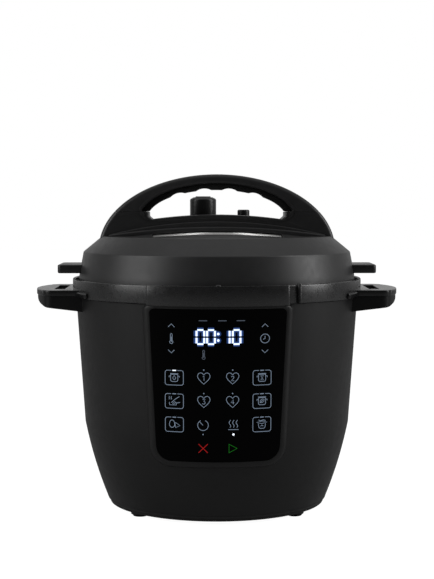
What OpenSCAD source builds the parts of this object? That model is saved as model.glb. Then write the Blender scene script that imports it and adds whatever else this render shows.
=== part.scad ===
// Electric pressure cooker with a lift-off bayonet lid and a removable inner pot.
// Millimetres. +Z is up, the control panel faces -Y, the worktop is z = 0 and the pot's axis is x = y = 0.

/* [Housing] */
// Height of the housing's underside above the worktop
foot_drop = 2; // [1:0.5:4]
// Radius of the housing at its top edge
rim_r = 133; // [120:0.5:150]
// How far the bowl's top lies inside the top edge
belly_in = 8; // [5:0.5:10]
// How far the housing's lower edge lies inside the bowl's top
bowl_in = 20.8; // [18:0.1:23]
// Width of the base's border, from the lower edge in to the flat part
base_border = 16.2; // [10:0.2:24]
// Height of the housing's lower edge
base_edge_z = 9; // [7:0.5:11]
// Height where the bowl turns into the straight side
belly_z = 80; // [72:1:90]
// Radius of the bowl's curve in section
belly_curve = 390; // [300:10:600]
// Wall of the housing and of the base cover
housing_wall = 2.4; // [1.8:0.1:3]
// How far a foot's middle lies inside the housing's lower edge
foot_in = 11.75; // [11:0.25:20]
// Direction of a foot from the middle, in degrees from the side
foot_dir = 40.2; // [30:0.05:60]
// Radius of a foot
foot_r = 7; // [5:0.5:8]

/* [Collar] */
// Height of the collar's lower edge
collar_z = 199.2; // [198:0.2:202]
// Height of the collar's wall
collar_h = 16.1; // [14:0.1:18]
// How far the collar stands out of the housing's top edge
collar_out = 3; // [2.5:0.5:7]
// Wall of the collar
collar_wall = 2.5; // [2:0.1:3]
// Half width of the raised front plate
plate_half_w = 63; // [50:1:68]
// How far the front plate stands out of the collar
plate_proud = 3; // [2:0.5:4]

/* [Side handles] */
// How far the handle stands out of the collar
handle_reach = 34; // [29:1:40]
// Radius of the curve of the handle's end in plan
handle_end_r = 96; // [80:2:160]
// Half depth of the handle, front to back
handle_half_d = 48; // [42:1:52]
// Radius of the handle's corners in plan
handle_corner = 10; // [8:1:20]
// Height of the handle's flat top above the collar's lower edge
handle_top_h = 6.6; // [5.6:0.2:8.6]
// Thickness of the handle's top plate
handle_plate_t = 5.4; // [4:0.2:7]
// Depth of the shell below the top plate
handle_shell_h = 14; // [10:0.5:18]
// Wall of the shell below the top plate
handle_shell_wall = 2.6; // [2:0.1:4]
// Length of the slot that takes a lid fin
slot_l = 57; // [54:1:62]
// Width of the slot that takes a lid fin
slot_w = 10; // [9.5:0.5:12]
// Width of the plate between the collar and the slot
slot_gap = 6; // [5:0.5:8]

/* [Control panel] */
// Room between the top of the black glass and the collar
glass_top_gap = 4; // [3.2:0.2:9.2]
// Height of the bottom of the black glass
glass_bottom_z = 61.6; // [58:0.2:70]
// Half width of the glass at its top
glass_top_half_w = 59.4; // [50:0.2:60]
// Half width of the glass at its bottom
glass_bottom_half_w = 53.2; // [44:0.2:56]
// Thickness of the glass
glass_t = 1.6; // [1:0.1:2]
// Border of the bezel round the glass
bezel_border = 5.8; // [4:0.2:8]
// How far the bezel stands out of the housing
bezel_proud = 3; // [2.4:0.2:4]
// Width of the circuit board behind the panel
board_w = 76; // [60:1:78]

/* [Heater] */
// How far the inside of the steel heater housing lies inside the top edge
bucket_in = 19.5; // [18:0.5:20]
// Wall of the heater housing
bucket_wall = 1; // [0.8:0.1:1.5]
// Height of the heating plate's top
plate_top_z = 50; // [46:1:56]
// Room round the heating plate
plate_room = 18.5; // [13.5:0.5:33.5]
// Thickness of the heating plate
plate_t = 5; // [4:0.5:7]
// How far the ring that the heating element runs on lies inside the plate's edge
element_in = 29; // [23:1:45]
// Radius of the heating element's tube
element_tube_r = 3.6; // [3:0.2:4]

/* [Inner pot] */
// Room between the inner pot and the heater housing
pot_room = 2; // [1.5:0.5:5.5]
// Wall of the inner pot
pot_wall = 1.2; // [0.8:0.1:1.5]
// Radius of the pot's bottom corner
pot_corner = 14; // [8:1:20]
// Width of the pot's rim
pot_rim_w = 9.5; // [8:0.5:10]

/* [Bayonet] */
// Number of lugs
lug_count = 6; // [4:1:8]
// Angle that one lug covers
lug_angle = 22; // [14:1:22]
// Width of the lock ring, from the heater housing's inside out
lock_ring_w = 8; // [7.5:0.5:8.5]
// How far a lug stands out
lug_reach = 3; // [2:0.5:3.5]
// Thickness of a lug
lug_t = 1.9; // [1.5:0.1:2.4]

/* [Lid] */
// Room between the lid and the collar's wall
lid_room = 3.6; // [3.5:0.1:5]
// How far the lid's shoulder lies inside its lower edge
shoulder_in = 4.1; // [2.3:0.2:7.5]
// Height of the lid's shoulder above the collar's lower edge
lid_side_h = 40.8; // [36.8:0.2:44.8]
// Width of the slope between the lid's shoulder and the edge of its top
lid_slope_w = 17.8; // [13:0.2:21]
// Height of the slope between the lid's shoulder and the edge of its top
lid_slope_h = 14.6; // [12:0.2:18]
// Height of the domed middle of the lid above its flat border
crown_h = 5; // [3:0.2:8]
// Wall of the lid's plastic cover
cover_wall = 2; // [1.6:0.1:2.4]
// Wall of the steel lid
steel_wall = 1.2; // [1:0.1:1.6]
// Half width of the window in the cover in front of the handle
window_half_w = 60; // [50:1:66]
// Distance of that window's front edge from the pot's axis
window_front_y = 58; // [50:1:66]
// How far a lid fin stands out of the lid's lower edge
fin_reach = 18.8; // [15.6:0.2:20.6]
// Half length of a lid fin, front to back
fin_half_d = 25; // [22:0.5:26]
// Thickness of a lid fin
fin_t = 8; // [7:0.5:8.5]

/* [Lid handle] */
// How far the handle's arch stands past the edge of the lid's top
arch_out = 2.7; // [-3:0.1:4]
// Height of the arch's top above the lid
handle_h = 52.8; // [46:0.2:58]
// How far the centre of the arch's curve lies below the lid's top
arch_sink = 17.2; // [5.6:0.2:20.6]
// Thickness of the arch above the finger opening
arch_bar_t = 8.7; // [7:0.1:11]
// Half depth of the handle's legs, front to back
arch_half_d = 20; // [17:0.5:22]
// Half depth of the arch at its top
arch_top_half_d = 15; // [13:0.5:18]
// Width of one leg of the arch
arch_leg_w = 38.2; // [32:0.1:42]
// Height of the joint line between the arch and its base, above the lid
arch_split_h = 17.8; // [15.4:0.2:20.4]

/* [Valves] */
// Radius of the steam valve
valve_r = 12.8; // [11:0.2:14]
// Height of the steam valve
valve_h = 31.9; // [26:0.1:36]
// Place of the steam valve, front to back
valve_y = 46; // [42:1:50]
// Radius of the quick-release button
button_r = 5.9; // [5:0.1:7]
// Height of the quick-release button's cap
button_h = 16.1; // [11:0.1:19]

/* [Condensation cup] */
// Width of the cup
cup_w = 54; // [44:1:60]
// How far the cup's back stands out of the collar
cup_reach = 22; // [16:1:28]
// Height of the cup, from its bottom to the collar's lower edge
cup_h = 47.2; // [39:0.2:53]
// Wall of the cup
cup_wall = 1.8; // [1.4:0.1:2.4]

/* [Mains inlet] */
// Height of the inlet's centre
inlet_z = 23.4; // [22.6:0.2:23.6]
// Width of the inlet's pocket
inlet_w = 24.6; // [24:0.2:26]
// Height of the inlet's pocket
inlet_h = 16.4; // [16:0.2:18]
// Depth of the inlet's pocket
inlet_depth = 16; // [15:0.5:18]

/* [Fits] */
// Gap where two pieces rest on each other
seat_gap = 0.2; // [0.1:0.05:0.4]
// Gap round a piece that moves
slide_gap = 0.4; // [0.3:0.05:0.6]

/* [Hidden] */
$fn = 120;

// Curves in section are drawn with this many straight pieces.
bend_steps = 6;
bowl_steps = 12;

charcoal = [0.13, 0.13, 0.135];
black = [0.03, 0.03, 0.032];
steel = [0.72, 0.72, 0.73];

belly_r = rim_r - belly_in;
base_r = belly_r - bowl_in;
base_flat_r = base_r - base_border;
foot_x = (base_r - foot_in) * cos(foot_dir);
foot_y = (base_r - foot_in) * sin(foot_dir);
collar_r = rim_r + collar_out;
handle_tip = collar_r + handle_reach;
bucket_r = rim_r - bucket_in;
plate_r = bucket_r - plate_room;
element_ring_r = plate_r - element_in;
pot_r = bucket_r - pot_room;
pot_rim_r = pot_r + pot_rim_w;
lock_ring_r = bucket_r + lock_ring_w;
lid_r = collar_r - collar_wall - lid_room;
lid_shoulder_r = lid_r - shoulder_in;
lid_top_r = lid_shoulder_r - lid_slope_w;
fin_tip = lid_r + fin_reach;
arch_half_w = lid_top_r + arch_out;
grip_half_w = arch_half_w - arch_leg_w;
cup_back_y = collar_r + cup_reach;
handle_top_z = collar_z + handle_top_h;
glass_top_z = collar_z - glass_top_gap;
lid_shoulder_z = collar_z + lid_side_h;
lid_top_z = lid_shoulder_z + lid_slope_h;
lid_crown_z = lid_top_z + crown_h;
arch_top_z = lid_crown_z + handle_h;
arch_centre_z = lid_crown_z - arch_sink;
arch_split_z = lid_crown_z + arch_split_h;
cup_bottom_z = collar_z - cup_h;

housing_top_z = collar_z - seat_gap;
collar_top_z = collar_z + collar_h;
collar_in_r = collar_r - collar_wall;
collar_floor_t = 1.4;
flange_z = collar_z + 5;
lock_ring_t = 1.8;
lock_ring_z = flange_z + seat_gap;
pot_rim_z = lock_ring_z + lock_ring_t + seat_gap;
pot_bottom_z = plate_top_z + seat_gap;
bucket_floor_z = plate_top_z - 15;
bucket_under_z = bucket_floor_z - bucket_wall;
bucket_out_r = bucket_r + bucket_wall;
steel_flange_z = collar_z + 20.3;
// How far solids of one piece run into each other where they are joined.
join = 0.5;
// How far a cutting solid runs past what it cuts.
past = 1;

// Points of an arc about centre c, from angle a0 to angle a1.
function arc(c, r, a0, a1, n) = [for (i = [0 : n])
    let (a = a0 + (a1 - a0) * i / n) c + r * [cos(a), sin(a)]];
function unit(v) = v / norm(v);
function left_normal(a, b) = let (d = unit(b - a)) [-d[1], d[0]];
function reversed(p) = [for (i = [len(p) - 1 : -1 : 0]) p[i]];

// Point i of path p, moved by t to the left of the path.
function shifted(p, i, t) = let (
    m = len(p) - 1,
    n1 = left_normal(p[max(i - 1, 0)], p[max(i, 1)]),
    n2 = left_normal(p[min(i, m - 1)], p[min(i + 1, m)]),
    q = p[i] + t * (n1 + n2) / (1 + n1 * n2)) [max(q[0], 0), q[1]];
function parallel(p, t) = [for (i = [0 : len(p) - 1]) shifted(p, i, t)];

// Closed outline of a wall of thickness t on the left of path p.
function wall(p, t) = concat(p, reversed(parallel(p, t)));

// Arc that rounds corner b between a and c.
function corner(a, b, c, r) = let (
    d1 = unit(a - b), d2 = unit(c - b), half = acos(d1 * d2) / 2,
    centre = b + unit(d1 + d2) * r / sin(half),
    p1 = b + d1 * r / tan(half) - centre, p2 = b + d2 * r / tan(half) - centre,
    a1 = atan2(p1[1], p1[0]), turn = atan2(p1[0] * p2[1] - p1[1] * p2[0], p1 * p2))
    arc(centre, r, a1, a1 + turn, bend_steps);

// Path p with each inner corner rounded by its radius in list r, where 0 leaves it sharp.
function rounded(p, r) = [for (i = [0 : len(p) - 1])
    each (i == 0 || i == len(p) - 1 || r[i] == 0 ? [p[i]] : corner(p[i - 1], p[i], p[i + 1], r[i]))];

// Arc of radius r that bulges to the right of the way from a to b.
function bowed(a, b, r, n) = let (
    d = b - a, c = (a + b) / 2 + left_normal(a, b) * sqrt(r * r - d * d / 4),
    a0 = atan2(a[1] - c[1], a[0] - c[0]), a1 = atan2(b[1] - c[1], b[0] - c[0])) arc(c, r, a0, a1, n);

// Upper arc through [-w, z0], [0, z1] and [w, z0], from left to right.
function crown(w, z0, z1, n) = let (h = z1 - z0, r = (w * w + h * h) / (2 * h), s = asin(w / r))
    arc([0, z1 - r], r, 90 + s, 90 - s, n);

// Half ellipse above zc, cut at height z, from right to left.
function half_ellipse(a, b, zc, z, n) = let (s = asin((z - zc) / b))
    [for (i = [0 : n]) let (t = s + (180 - 2 * s) * i / n) [a * cos(t), zc + b * sin(t)]];

// Solid of revolution of a closed outline, through angle w centred on direction dir.
module sector(outline, dir, w) rotate([0, 0, dir - w / 2]) rotate_extrude(angle = w) polygon(outline);
// Outline in x and z, extruded from y0 to y1.
module front_extrude(y0, y1) translate([0, y1, 0]) rotate([90, 0, 0]) linear_extrude(y1 - y0) children();
module block(x0, x1, y0, y1, z0, z1) translate([x0, y0, z0]) cube([x1 - x0, y1 - y0, z1 - z0]);
module rod(x, y, z0, z1, r) translate([x, y, z0]) cylinder(h = z1 - z0, r = r);
module tube(x, y, z0, z1, r, bore) difference() {
    rod(x, y, z0, z1, r);
    rod(x, y, z0 - 1, z1 + 1, bore);
}
module rounded_rect(x0, x1, y0, y1, r) polygon(concat(
    arc([x1 - r, y0 + r], r, -90, 0, bend_steps), arc([x1 - r, y1 - r], r, 0, 90, bend_steps),
    arc([x0 + r, y1 - r], r, 90, 180, bend_steps), arc([x0 + r, y0 + r], r, 180, 270, bend_steps)));

// ---- Housing ----
housing_path = concat(bowed([base_r, base_edge_z], [belly_r, belly_z], belly_curve, bowl_steps),
    [[rim_r, housing_top_z]]);
function housing_r(z) = belly_r + (rim_r - belly_r) * (z - belly_z) / (housing_top_z - belly_z);
// Closed outline of the housing's outside, grown by t, down to the axis.
function housing_solid(t) = concat([[0, base_edge_z]], parallel(housing_path, -t), [[0, housing_top_z]]);

board_in = 17;
board_y = rim_r - board_in;
board_t = 1.6;
board_z0 = glass_bottom_z + 26.4;
board_z1 = glass_top_z - 13.2;
board_fixing_in = 8;
window_room = 4;
window_w = board_w + 2 * window_room;
window_z0 = board_z0 - window_room;
window_z1 = board_z1 + window_room;
inlet_flange = 5;

module outer_housing() color(charcoal) difference() {
    rotate_extrude() polygon(wall(housing_path, housing_wall));
    block(-window_w / 2, window_w / 2, -rim_r - past, -rim_r / 2, window_z0, window_z1);
    t = inlet_wall + slide_gap;
    block(-inlet_w / 2 - t, inlet_w / 2 + t, inlet_floor_y - inlet_floor_t, rim_r,
        inlet_z - inlet_h / 2 - t, inlet_z + inlet_h / 2 + t);
}

cover_bend = 16;
cover_lip_h = 2.4;
cover_lip_in = 0.8;
cover_lip_r = 3.4;
cover_path = rounded([[0, foot_drop], [base_flat_r, foot_drop],
    [base_r - cover_lip_in, base_edge_z - cover_lip_h], [base_r, base_edge_z - seat_gap]],
    [0, cover_bend, cover_lip_r, 0]);
tongue_r = base_r - housing_wall - seat_gap;
cover_in_z = foot_drop + housing_wall;
foot_pad_w = 1.5;
foot_pad_r = foot_r + foot_pad_w;
post_r = 3.5;
post_bore = 1.3;
board_post_z = 12;
power_board_in_x = 30;
power_board_in_y = 8;
power_board_d = 60;
power_board_half_w = base_flat_r - power_board_in_x;
power_board_y1 = base_flat_r - power_board_in_y;
power_board_y0 = power_board_y1 - power_board_d;
board_post_in = 8;
board_posts = [for (x = [-1, 1], y = [power_board_y0 + board_post_in, power_board_y1 - board_post_in])
    [x * (power_board_half_w - board_post_in), y]];
bucket_post_in = 6;
bucket_posts = [for (a = [30, 150, 210, 330]) (base_flat_r - bucket_post_in) * [cos(a), sin(a)]];
bucket_post_wall = 1;
vent_w = 3;
vent_pitch = 7;
vent_count = 7;
vent_l = 40;
foot_bore = 2.6;
foot_head_over = 0.6;
foot_head_r = foot_bore + foot_head_over;
foot_head_t = 1.6;
tongue_h = 3.5;
tongue_t = 2;
screw_r = 1.7;
screw_head_r = 3.2;
screw_recess = 2;
vent_y = -18;

module base_cover() color(black) difference() {
    union() {
        rotate_extrude() polygon(wall(cover_path, housing_wall));
        tube(0, 0, cover_in_z - join, base_edge_z + tongue_h, tongue_r, tongue_r - tongue_t);
        for (x = [-foot_x, foot_x], y = [-foot_y, foot_y]) rod(x, y, foot_drop, base_edge_z, foot_pad_r);
        for (p = board_posts) rod(p[0], p[1], cover_in_z - join, board_post_z, post_r);
        for (p = bucket_posts)
            rod(p[0], p[1], cover_in_z - join, bucket_under_z, post_r + bucket_post_wall);
    }
    for (x = [-foot_x, foot_x], y = [-foot_y, foot_y]) rod(x, y, 0, base_edge_z + past, foot_bore);
    for (p = bucket_posts) {
        rod(p[0], p[1], 0, bucket_floor_z, screw_r + seat_gap);
        rod(p[0], p[1], 0, foot_drop + screw_recess, screw_head_r + slide_gap);
    }
    for (i = [0 : vent_count - 1]) translate([(i - (vent_count - 1) / 2) * vent_pitch, vent_y, 0])
        block(-vent_w / 2, vent_w / 2, -vent_l / 2, vent_l / 2, 0, cover_in_z + past);
}

module foot(x, y) color(black) {
    rod(x, y, 0, foot_drop - seat_gap / 2, foot_r);
    rod(x, y, foot_drop - seat_gap, base_edge_z + seat_gap, foot_bore - seat_gap / 2);
    rod(x, y, base_edge_z + seat_gap / 2, base_edge_z + foot_head_t, foot_head_r);
}
module foot_front_left() foot(-foot_x, -foot_y);
module foot_front_right() foot(foot_x, -foot_y);
module foot_rear_left() foot(-foot_x, foot_y);
module foot_rear_right() foot(foot_x, foot_y);

screw_head_t = 1.6;
screw_end_gap = 3;
screw_top_z = bucket_under_z - screw_end_gap;
module base_screws() color(steel) for (p = bucket_posts) {
    z = foot_drop + screw_recess - seat_gap / 2;
    rod(p[0], p[1], z - screw_head_t, z, screw_head_r);
    rod(p[0], p[1], z - join, screw_top_z, screw_r);
}

// ---- Collar ----
lip_in_r = bucket_out_r + 0.5;
lip_out_r = lip_in_r + 2.3;
collar_tongue_r = rim_r - housing_wall - 1.2;
collar_tongue_h = 6;
tongue_top_w = 3.8;
tongue_step = 1;
hanger_w = cup_w + 12;
hanger_root = 8;
hanger_back_in = 6;
hanger_t = 2.4;
rail_h = 7;
rail_w = 5;
rail_t = 1.6;
cup_flange_t = 2.4;
hanger_back_y = cup_back_y - hanger_back_in;
rail_top_z = collar_z;
rail_bottom_z = rail_top_z - rail_h;

module collar_ring() rotate_extrude() polygon([
    [collar_r, collar_z], [collar_r, collar_top_z], [collar_in_r, collar_top_z],
    [collar_in_r, collar_z + collar_floor_t], [lip_out_r, collar_z + collar_floor_t],
    [lip_out_r, flange_z - bucket_wall - seat_gap], [lip_in_r, flange_z - bucket_wall - seat_gap],
    [lip_in_r, collar_z], [collar_tongue_r - tongue_top_w, collar_z],
    [collar_tongue_r - tongue_top_w, collar_z - collar_tongue_h],
    [collar_tongue_r - tongue_step, collar_z - collar_tongue_h],
    [collar_tongue_r, collar_z]]);

// Holder at the back that the condensation cup slides into.
module cup_hanger() difference() {
    union() {
        block(-hanger_w / 2, hanger_w / 2, collar_r - hanger_root, hanger_back_y, rail_top_z,
            rail_top_z + hanger_t);
        for (s = [-1, 1]) {
            x = s * (hanger_w - rail_w / 2) / 2;
            block(x - rail_w / 4, x + rail_w / 4, rim_r, hanger_back_y, rail_bottom_z,
                rail_top_z + hanger_t);
            x2 = s * (hanger_w - rail_w) / 2;
            block(x2 - rail_w / 2, x2 + rail_w / 2, rim_r, hanger_back_y, rail_bottom_z,
                rail_bottom_z + rail_t);
        }
    }
    rotate_extrude() polygon(housing_solid(seat_gap));
    rod(0, 0, rail_top_z - past, rail_top_z + hanger_t + past, collar_r - join);
}

// A trough through the collar's wall leads the channel's water to a hole over the cup.
drain_r = 2.5;
drain_y = collar_r + 6;
drain_h = 4;
module condensation_collar() color(charcoal) difference() {
    union() {
        collar_ring();
        cup_hanger();
    }
    z = collar_z + collar_floor_t;
    block(-drain_r, drain_r, collar_in_r - 3, drain_y, z, z + drain_h);
    rod(0, drain_y, collar_z - past, z + drain_h, drain_r);
}

marker_w = 3.4;
marker_dir = -59;
marker_rise = 1.4;
plate_bottom_drop = 1.2;
plate_edge = 0.6;
module collar_front_plate() color(charcoal) {
    intersection() {
        sector([[collar_r + seat_gap / 2, collar_z - plate_bottom_drop],
            [collar_r + plate_proud, collar_z - plate_bottom_drop],
            [collar_r + plate_proud, collar_top_z - plate_edge],
            [collar_r + plate_proud - plate_edge, collar_top_z], [collar_r + seat_gap / 2, collar_top_z]],
            -90, 70);
        block(-plate_half_w, plate_half_w, -collar_r - 10, 0, collar_z - 10, collar_top_z + 10);
    }
    rotate([0, 0, marker_dir]) block(collar_r + seat_gap / 2, collar_r + plate_proud, -marker_w / 2,
        marker_w / 2, collar_z + seat_gap, collar_top_z + marker_rise);
}

// ---- Side handles, drawn on the +X side ----
plate_z = handle_top_z - handle_plate_t;
slot_x = collar_r + slot_gap + slot_w / 2;
handle_root = 46;
handle_end_steps = 24;
handle_edge = 1.4;
tab_t = 3;
tab_dir = 22.5;
tab_w = 17;
// Plan of the handle, moved in by inset: two straight sides, two corners and a curved end.
module handle_plan(inset) let (r = handle_corner - inset, big = handle_end_r - inset,
    c = handle_tip - handle_end_r, y = handle_half_d - handle_corner,
    x = c + sqrt(pow(big - r, 2) - y * y), a = atan2(y, x - c))
    polygon(concat([[collar_r - handle_root, -y - r]], arc([x, -y], r, -90, -a, bend_steps),
        arc([c, 0], big, -a, a, handle_end_steps), arc([x, y], r, a, 90, bend_steps),
        [[collar_r - handle_root, y + r]]));
module body_clearance() {
    rotate_extrude() polygon(housing_solid(seat_gap));
    rod(0, 0, housing_top_z - 1, collar_top_z, collar_r + seat_gap);
}
module side_handle() color(black) difference() {
    union() {
        translate([0, 0, plate_z]) linear_extrude(handle_plate_t - 1) handle_plan(0);
        translate([0, 0, plate_z + 1]) linear_extrude(handle_plate_t - 1) handle_plan(handle_edge);
        for (s = [-1, 1]) sector([[collar_r, plate_z - 1], [collar_r + tab_t, plate_z - 1],
            [collar_r + tab_t, handle_top_z], [collar_r, handle_top_z]], s * tab_dir, tab_w);
    }
    body_clearance();
    translate([0, 0, plate_z - 2]) linear_extrude(handle_plate_t + 4)
        rounded_rect(slot_x - slot_w / 2, slot_x + slot_w / 2, -slot_l / 2, slot_l / 2, 1.5);
}
// Side view of the shell under the handle.
shell_z = plate_z - handle_shell_h;
shell_inset = 0.8;
shell_root = 36;
shell_nose_w = 12.5;
shell_end_w = 10;
shell_end_z = shell_z + 3.6;
module shell_side() front_extrude(-handle_half_d - past, handle_half_d + past) polygon(rounded([
    [handle_tip - shell_inset, plate_z - seat_gap / 2], [handle_tip - 3, plate_z - 6],
    [handle_tip - shell_nose_w, shell_end_z], [collar_r - shell_root, shell_z - 3.2],
    [collar_r - shell_root, plate_z - seat_gap / 2]],
    [0, 10, 14, 0, 0]));
module handle_shell() color(black) difference() {
    intersection() {
        shell_side();
        translate([0, 0, shell_z - 10]) linear_extrude(handle_shell_h + 10) handle_plan(shell_inset);
    }
    intersection() {
        translate([0, 0, shell_z - 10]) linear_extrude(handle_shell_h + 20)
            handle_plan(shell_inset + handle_shell_wall);
        block(collar_r + tab_t, handle_tip - shell_end_w, -handle_half_d, handle_half_d, shell_z - 10,
            plate_z + 10);
    }
    body_clearance();
    r = collar_r + tab_t + seat_gap;
    z = plate_z - 1 - seat_gap;
    for (s = [-1, 1])
        sector([[0, z], [r, z], [r, plate_z + past], [0, plate_z + past]], s * tab_dir, tab_w + 1);
}
module side_handle_right() side_handle();
module side_handle_left() mirror([1, 0, 0]) side_handle();
module handle_shell_right() handle_shell();
module handle_shell_left() mirror([1, 0, 0]) handle_shell();

// ---- Control panel ----
glass_corner_top = 4;
glass_corner_bottom = 13;
// Front view of the glass, grown by t.
function half_w_at(z) = glass_bottom_half_w + (glass_top_half_w - glass_bottom_half_w)
    * (z - glass_bottom_z) / (glass_top_z - glass_bottom_z);
module panel_front(t) let (z0 = glass_bottom_z - t,
    z1 = min(glass_top_z + t, collar_z - plate_bottom_drop - seat_gap),
    w0 = half_w_at(z0) + t, w1 = half_w_at(z1) + t, rb = glass_corner_bottom + t, rt = glass_corner_top)
    front_extrude(-collar_r - 20, -60) polygon(rounded(
        [[0, z0], [w0, z0], [w1, z1], [-w1, z1], [-w0, z0], [0, z0]], [0, rb, rt, rt, rb, 0]));
// Shell that follows the housing, from t0 to t1 outside it.
module panel_shell(t0, t1) intersection() {
    sector(concat(parallel(housing_path, -t0), reversed(parallel(housing_path, -t1))), -90, 80);
    block(-200, 200, -200, 0, 0, housing_top_z + 20);
}
display_w = 46;
display_h = 20;
display_z = glass_top_z - 27.2;
board_fixings = [for (x = [-1, 1], z = [board_z0 + board_fixing_in, board_z1 - board_fixing_in])
    [x * (board_w / 2 - board_fixing_in), z]];
boss_r = 3;
display_t = 9;
glass_back = bezel_proud - glass_t;
board_front_y = board_y + board_t;
// Distance from the pot's axis plane to the back of the bezel at x and z.
function bezel_depth(x, z) = sqrt(pow(housing_r(z) + join, 2) - x * x);

module panel_bezel() color(charcoal) difference() {
    union() {
        intersection() {
            panel_shell(seat_gap / 2, bezel_proud);
            panel_front(bezel_border);
        }
        for (p = board_fixings) translate([p[0], -board_front_y - seat_gap, p[1]]) rotate([90, 0, 0])
            cylinder(h = bezel_depth(p[0], p[1]) - board_front_y - seat_gap, r = boss_r);
    }
    intersection() {
        panel_shell(glass_back - seat_gap, bezel_proud + 5);
        panel_front(seat_gap);
    }
    block(-display_w / 2 - 1, display_w / 2 + 1, -rim_r - 5, -60, display_z - display_h / 2 - 1,
        display_z + display_h / 2 + 1);
}
module control_glass() color("black") intersection() {
    panel_shell(glass_back, bezel_proud);
    panel_front(0);
}
module display_module() color("white")
    block(-display_w / 2, display_w / 2, -board_front_y - display_t, -board_front_y - seat_gap / 2,
        display_z - display_h / 2, display_z + display_h / 2);
module control_board() color("darkgreen") difference() {
    block(-board_w / 2, board_w / 2, -board_front_y, -board_y, board_z0, board_z1);
    for (p = board_fixings) translate([p[0], -board_y + 1, p[1]]) rotate([90, 0, 0])
        cylinder(h = board_t + 2 * past, r = post_bore);
}

// ---- Heater ----
bucket_mouth_r = 14;
bucket_cone_w = 8;
bucket_cone_h = 14;
support_in = 11;
bucket_path = rounded([[bucket_mouth_r, bucket_floor_z], [bucket_r - bucket_cone_w, bucket_floor_z],
    [bucket_r, bucket_floor_z + bucket_cone_h], [bucket_r, flange_z], [lock_ring_r - 1, flange_z]],
    [0, 8, 12, 2, 0]);
supports = [for (a = [90, 210, 330]) (plate_r - support_in) * [cos(a), sin(a)]];
terminal_hole = 4.6;
element_gap_angle = 30;
plate_under_z = plate_top_z - plate_t;
element_z = plate_under_z - seat_gap - element_tube_r;
terminals = [for (a = [-element_gap_angle / 2, element_gap_angle / 2]) element_ring_r * [cos(a), sin(a)]];
terminal_r = 1.2;
element_leg = 8;
terminal_leg = 14;
support_r = 4;
support_pin_r = 1.8;

module heater_housing() color(steel) difference() {
    rotate_extrude() polygon(wall(bucket_path, -bucket_wall));
    for (p = terminals) rod(p[0], p[1], bucket_floor_z - 5, bucket_floor_z + 5, terminal_hole);
    for (p = bucket_posts) rod(p[0], p[1], bucket_floor_z - 5, bucket_floor_z + 5, screw_r + seat_gap);
}
module lug_ring(r_in, r_out, z0, z1, dir) for (i = [0 : lug_count - 1])
    sector([[r_in, z0], [r_out, z0], [r_out, z1], [r_in, z1]], dir + i * 360 / lug_count, lug_angle);
module lock_ring() color(steel) {
    tube(0, 0, lock_ring_z, lock_ring_z + lock_ring_t, lock_ring_r, bucket_r + 1);
    lug_ring(lock_ring_r - 1, lock_ring_r + lug_reach, lock_ring_z, lock_ring_z + lock_ring_t, 0);
}
sensor_r = 9;
module heating_plate() color("silver") difference() {
    rotate_extrude() polygon(rounded([[sensor_r + slide_gap, plate_top_z - plate_t],
        [plate_r, plate_top_z - plate_t], [plate_r, plate_top_z], [sensor_r + slide_gap, plate_top_z]],
        [0, 1, 2, 0]));
    for (p = supports)
        rod(p[0], p[1], plate_under_z - past, plate_under_z + 2, support_pin_r + seat_gap);
}
module plate_supports() color(steel) for (p = supports) {
    rod(p[0], p[1], bucket_floor_z + seat_gap / 2, plate_under_z - seat_gap / 2, support_r);
    rod(p[0], p[1], plate_under_z - join, plate_under_z + 1.5, support_pin_r);
}
module heating_element() color("dimgray") {
    rotate([0, 0, element_gap_angle / 2]) rotate_extrude(angle = 360 - element_gap_angle)
        translate([element_ring_r, element_z]) circle(r = element_tube_r, $fn = 32);
    for (p = terminals) {
        rod(p[0], p[1], bucket_floor_z - element_leg, element_z, element_tube_r);
        rod(p[0], p[1], bucket_floor_z - terminal_leg, bucket_floor_z - element_leg + join, terminal_r);
    }
}
holder_t = 2;
holder_r = 20;
holder_z = bucket_under_z - seat_gap / 2;
stem_r = 3.5;
stem_below = 5;
sensor_cap_t = 5.4;
sensor_top_z = plate_top_z - seat_gap / 2;
module temperature_sensor() color(steel) {
    rod(0, 0, sensor_top_z - sensor_cap_t, sensor_top_z, sensor_r);
    rod(0, 0, holder_z - holder_t - stem_below, sensor_top_z - 1, stem_r);
    rod(0, 0, holder_z - holder_t - stem_below - 1.5, holder_z - holder_t - stem_below + 0.1, stem_r + 1.2);
}
module sensor_holder() color(steel) difference() {
    rod(0, 0, holder_z - holder_t, holder_z, holder_r);
    rod(0, 0, holder_z - holder_t - past, holder_z + past, stem_r + slide_gap);
}
spring_z0 = holder_z + seat_gap;
spring_z1 = sensor_top_z - sensor_cap_t - seat_gap;
sensor_turns = 6;
release_turns = 4;
// Stack of rings that stands for a coil spring.
module coil(x, y, z0, z1, r, wire, turns) translate([x, y, 0]) for (i = [0 : turns - 1])
    translate([0, 0, z0 + wire + (z1 - z0 - 2 * wire) * i / (turns - 1)])
        rotate_extrude() translate([r, 0]) circle(r = wire, $fn = 16);
module sensor_spring() color(steel) coil(0, 0, spring_z0, spring_z1, 6.2, 0.6, sensor_turns);

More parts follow.
